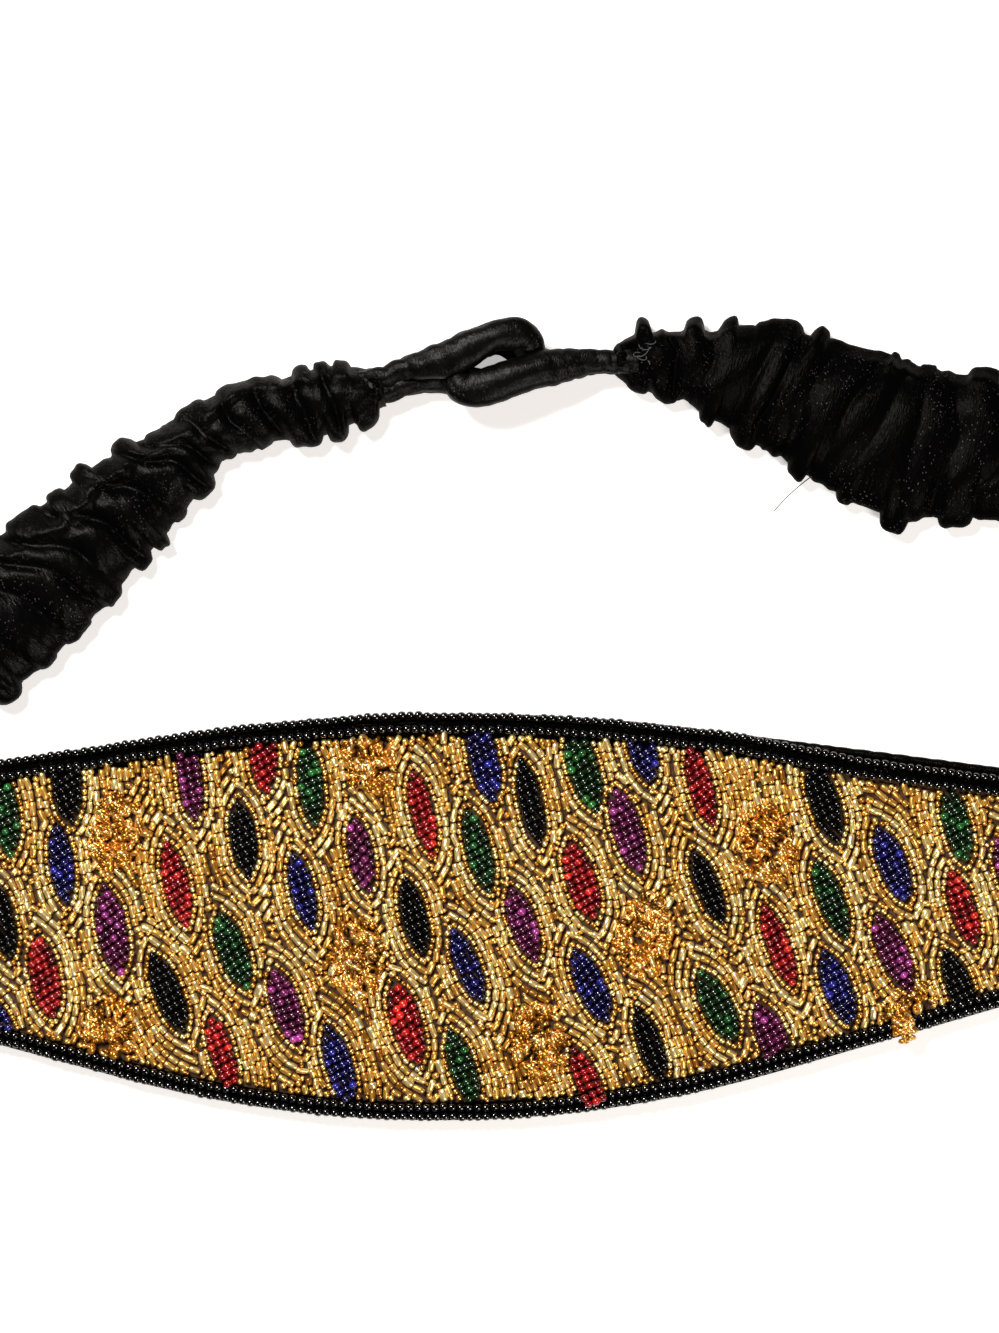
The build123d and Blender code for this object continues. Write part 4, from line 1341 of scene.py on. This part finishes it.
class HEADBAND_OT_stitches(Piece):
    """Sew the thread stitches across both end strips"""
    bl_idname = "headband.stitches"
    bl_label = "Seam stitches"

    def execute(self, context):
        for name, side in (("left", -1), ("right", 1)):
            low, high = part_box(f"{name}_seam_stitches")
            count, rows, columns = 9, 12, 8
            x = np.linspace(low.x, high.x, rows)
            share = np.linspace(-1, 1, rows)
            span = (high.y - low.y) / (count - 1)
            stitches = []
            for index in range(count):
                line = np.stack([x, low.y + span * index + 0.25 * MM * share * side,
                                 low.z + 0.30 * MM - 0.45 * MM * share**4], axis=1)
                stitches.append(with_poles(thread_rings(line, 0.2 * MM, columns)))
            quads, triangles = tube_faces(rows, columns)
            points = len(stitches[0])
            piece = add_mesh(f"{name}_seam_threads", np.concatenate(stitches),
                             repeated(quads, count, points), repeated(triangles, count, points))
            finish_with(piece, "thread", "front", [f"{name}_seam_stitches"])
        return {"FINISHED"}


def blend_along(piece):
    """Bake the piece's placing into its points, where it stays fixed."""
    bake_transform(piece)


class HEADBAND_OT_sleeves(Piece):
    """Gather both satin sleeves over their elastic, split where the fold ends and the stretch begins"""
    bl_idname = "headband.sleeves"
    bl_label = "Gathered straps"

    def execute(self, context):
        for name, side in (("left", -1), ("right", 1)):
            spec = STRAPS[name]
            look = "satin" if side < 0 else "dull_satin"
            for kind, node_name, finish, slot, made in (
                    ("sleeve", "ruched_sleeve", look, "satin_black", sleeve_rings(spec)),
                    ("elastic", "elastic", "elastic", "elastic_webbing", elastic_rings(spec))):
                distance, rings, uv = made
                split = int(np.searchsorted(distance, spec["seam_end"] * MM))
                turn = add_tube(f"{name}_{kind}_seam_end", rings[:split + 1], uv[:split + 1])
                run = add_tube(f"{name}_{kind}_run", rings[split:], uv[split:])
                for piece in (turn, run):
                    finish_with(piece, finish, None, [f"{name}_{node_name}"])
                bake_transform(turn)
                blend_along(run)
        return {"FINISHED"}


class HEADBAND_OT_loops(Piece):
    """Bend both rouleau loops through each other and wrap their necks with thread"""
    bl_idname = "headband.loops"
    bl_label = "Rouleau loops"

    def execute(self, context):
        sizes = straps()
        for name, seed in (("left", 101), ("right", 111)):
            rings, uv = loop_rings(name, seed)
            piece = add_tube(f"{name}_rouleau", rings, uv)
            finish_with(piece, "rouleau", f"{name}_loop", [f"{name}_loop_cover"])
            filler = add_tube(f"{name}_rouleau_filler", cord_rings(name))
            finish_with(filler, "cord", f"{name}_loop", [f"{name}_loop_cord"])
            # thread wound about the neck: an oval helix with a little slack in its turns
            tip, heading = TIPS[name]
            ahead, aside = flat_directions(heading)
            turns = 5
            a = np.linspace(0, 2 * pi * turns, 30 * turns)
            slack = 1 + 0.07 * noise(seed + 5, a / 1.3)
            wide, tall, inside = (2.25, 1.3, 2.4) if name == "left" else (1.75, 1.55, 1.0)
            forward = -inside * MM + a / a[-1] * 1.1 * MM + 0.15 * MM * noise(seed + 6, a / 2)
            line = (np.array([*tip, 3.1]) * MM + forward[:, None] * ahead
                    + (wide * MM * slack * np.cos(a))[:, None] * aside
                    + (tall * MM * slack * np.sin(a))[:, None] * np.array([0, 0, 1]))
            wrap = add_tube(f"{name}_loop_thread", thread_rings(line, sizes.thread / 2, 7))
            finish_with(wrap, "thread", f"{name}_loop", [f"{name}_loop_tack"])
        # thread ends left on the right strap: a small tangle at its tip and a tail under its edge
        t = np.linspace(0, 1, 110)
        tangle = np.stack([28.3 + 0.9 * np.cos(2 * pi * 4 * t) + 0.5 * t,
                           78.6 + 3.6 * t + 0.6 * np.sin(2 * pi * 4 * t),
                           5.05 + 0.45 * np.cos(2 * pi * 4 * t + 1)], axis=1) * MM
        stray = [noise(131, 7 * t), noise(132, 7 * t), noise(133, 7 * t) * 0.3]
        tangle = tangle + 0.7 * MM * np.stack(stray, axis=1)
        tail = [52.6 - 5.4 * t, 62.4 - 4.9 * t + 1.3 * t * (1 - t), 2.6 - 2.3 * t**1.5]
        tail = np.stack(tail, axis=1) * MM
        for name, line, radius in (("right_thread_tangle", tangle, 0.055), ("right_thread_tail", tail, 0.08)):
            end = add_tube(name, thread_rings(line, radius * MM, 6))
            finish_with(end, "loose_thread")
            blend_along(end)
        return {"FINISHED"}


class HEADBAND_OT_stage(Piece):
    """Make the floor, the lights and the camera"""
    bl_idname = "headband.stage"
    bl_label = "Stage"

    def execute(self, context):
        scene = context.scene
        scene.view_settings.view_transform = "Standard"
        points = 2.0 * np.array([(-1, -1, 0), (1, -1, 0), (1, 1, 0), (-1, 1, 0)]) - [0, 0, 0.4 * MM]
        floor = add_mesh("floor", points, [(0, 1, 2, 3)])
        made, tree, shader = new_material(
            "pale_floor", Roughness=0.9, Base_Color=(0.90, 0.90, 0.90, 1), Specular_IOR_Level=0.1,
            Emission_Color=(1, 0.99, 0.985, 1))
        # the floor glows a little for the camera alone, so that it looks white and lights nothing
        seen = node(tree, "ShaderNodeLightPath").outputs["Is Camera Ray"]
        tree.links.new(math(tree, "MULTIPLY", seen, 0.48), shader.inputs["Emission Strength"])
        floor.data.materials.append(made)
        world = bpy.data.worlds.new("studio")
        world.use_nodes = True
        background = world.node_tree.nodes["Background"]
        background.inputs[0].default_value = (0.96, 0.98, 1.0, 1)
        background.inputs[1].default_value = 0.05
        scene.world = world
        self.lamp("key", (-0.25, 0.35, 0.54), 0.15, 5.9, (1.0, 0.97, 0.93))
        self.lamp("fill", (0.30, -0.36, 0.52), 0.24, 3.1, (1.0, 0.91, 0.81))
        # the camera looks straight down between the panel and the link
        camera = bpy.data.objects.new("camera", bpy.data.cameras.new("camera"))
        scene.collection.objects.link(camera)
        camera.data.sensor_width = 36
        camera.data.lens = 104
        camera.location = (7.8 * MM, 35.6 * MM, 0.55)
        camera.rotation_euler = (0, 0, -0.0083)
        camera.data.clip_start = 0.01
        scene.camera = camera
        return {"FINISHED"}

    def lamp(self, name, place, size, power, colour):
        """A square soft lamp aimed at the link's side of the panel's middle."""
        light = bpy.data.lights.new(name, "AREA")
        light.size, light.energy, light.color = size, power, colour
        lamp = bpy.data.objects.new(name, light)
        bpy.context.scene.collection.objects.link(lamp)
        lamp.location = place
        aim = np.array([0.007, 0.035, 0]) - place
        lamp.rotation_euler = Vector(aim).to_track_quat("-Z", "Y").to_euler()


class HEADBAND_PT_panel(bpy.types.Panel):
    """Lists the steps that dress the headband"""
    bl_idname = "HEADBAND_PT_panel"
    bl_label = "Beaded headband"
    bl_space_type = "VIEW_3D"
    bl_region_type = "UI"
    bl_category = "Headband"

    def draw(self, context):
        for step in STEPS:
            self.layout.operator(step.bl_idname)
        for group, kind in GROUPS.items():
            box = self.layout.box()
            for key in kind.__annotations__:
                box.prop(getattr(context.scene, group), key)


STEPS = [HEADBAND_OT_finishes, HEADBAND_OT_beadwork, HEADBAND_OT_motifs, HEADBAND_OT_edging,
         HEADBAND_OT_stitches, HEADBAND_OT_sleeves, HEADBAND_OT_loops, HEADBAND_OT_stage]


def register():
    """Registers the property groups, the operators and the sidebar panel."""
    for kind in [*GROUPS.values(), *STEPS, HEADBAND_PT_panel]:
        bpy.utils.register_class(kind)
    for group, kind in GROUPS.items():
        setattr(bpy.types.Scene, group, bpy.props.PointerProperty(type=kind))


def unregister():
    """Takes away what register added."""
    for group in GROUPS:
        delattr(bpy.types.Scene, group)
    for kind in reversed([*GROUPS.values(), *STEPS, HEADBAND_PT_panel]):
        bpy.utils.unregister_class(kind)


def main():
    register()
    for step in STEPS:
        space, name = step.bl_idname.split(".")
        getattr(getattr(bpy.ops, space), name)()


if __name__ == "__main__":
    main()
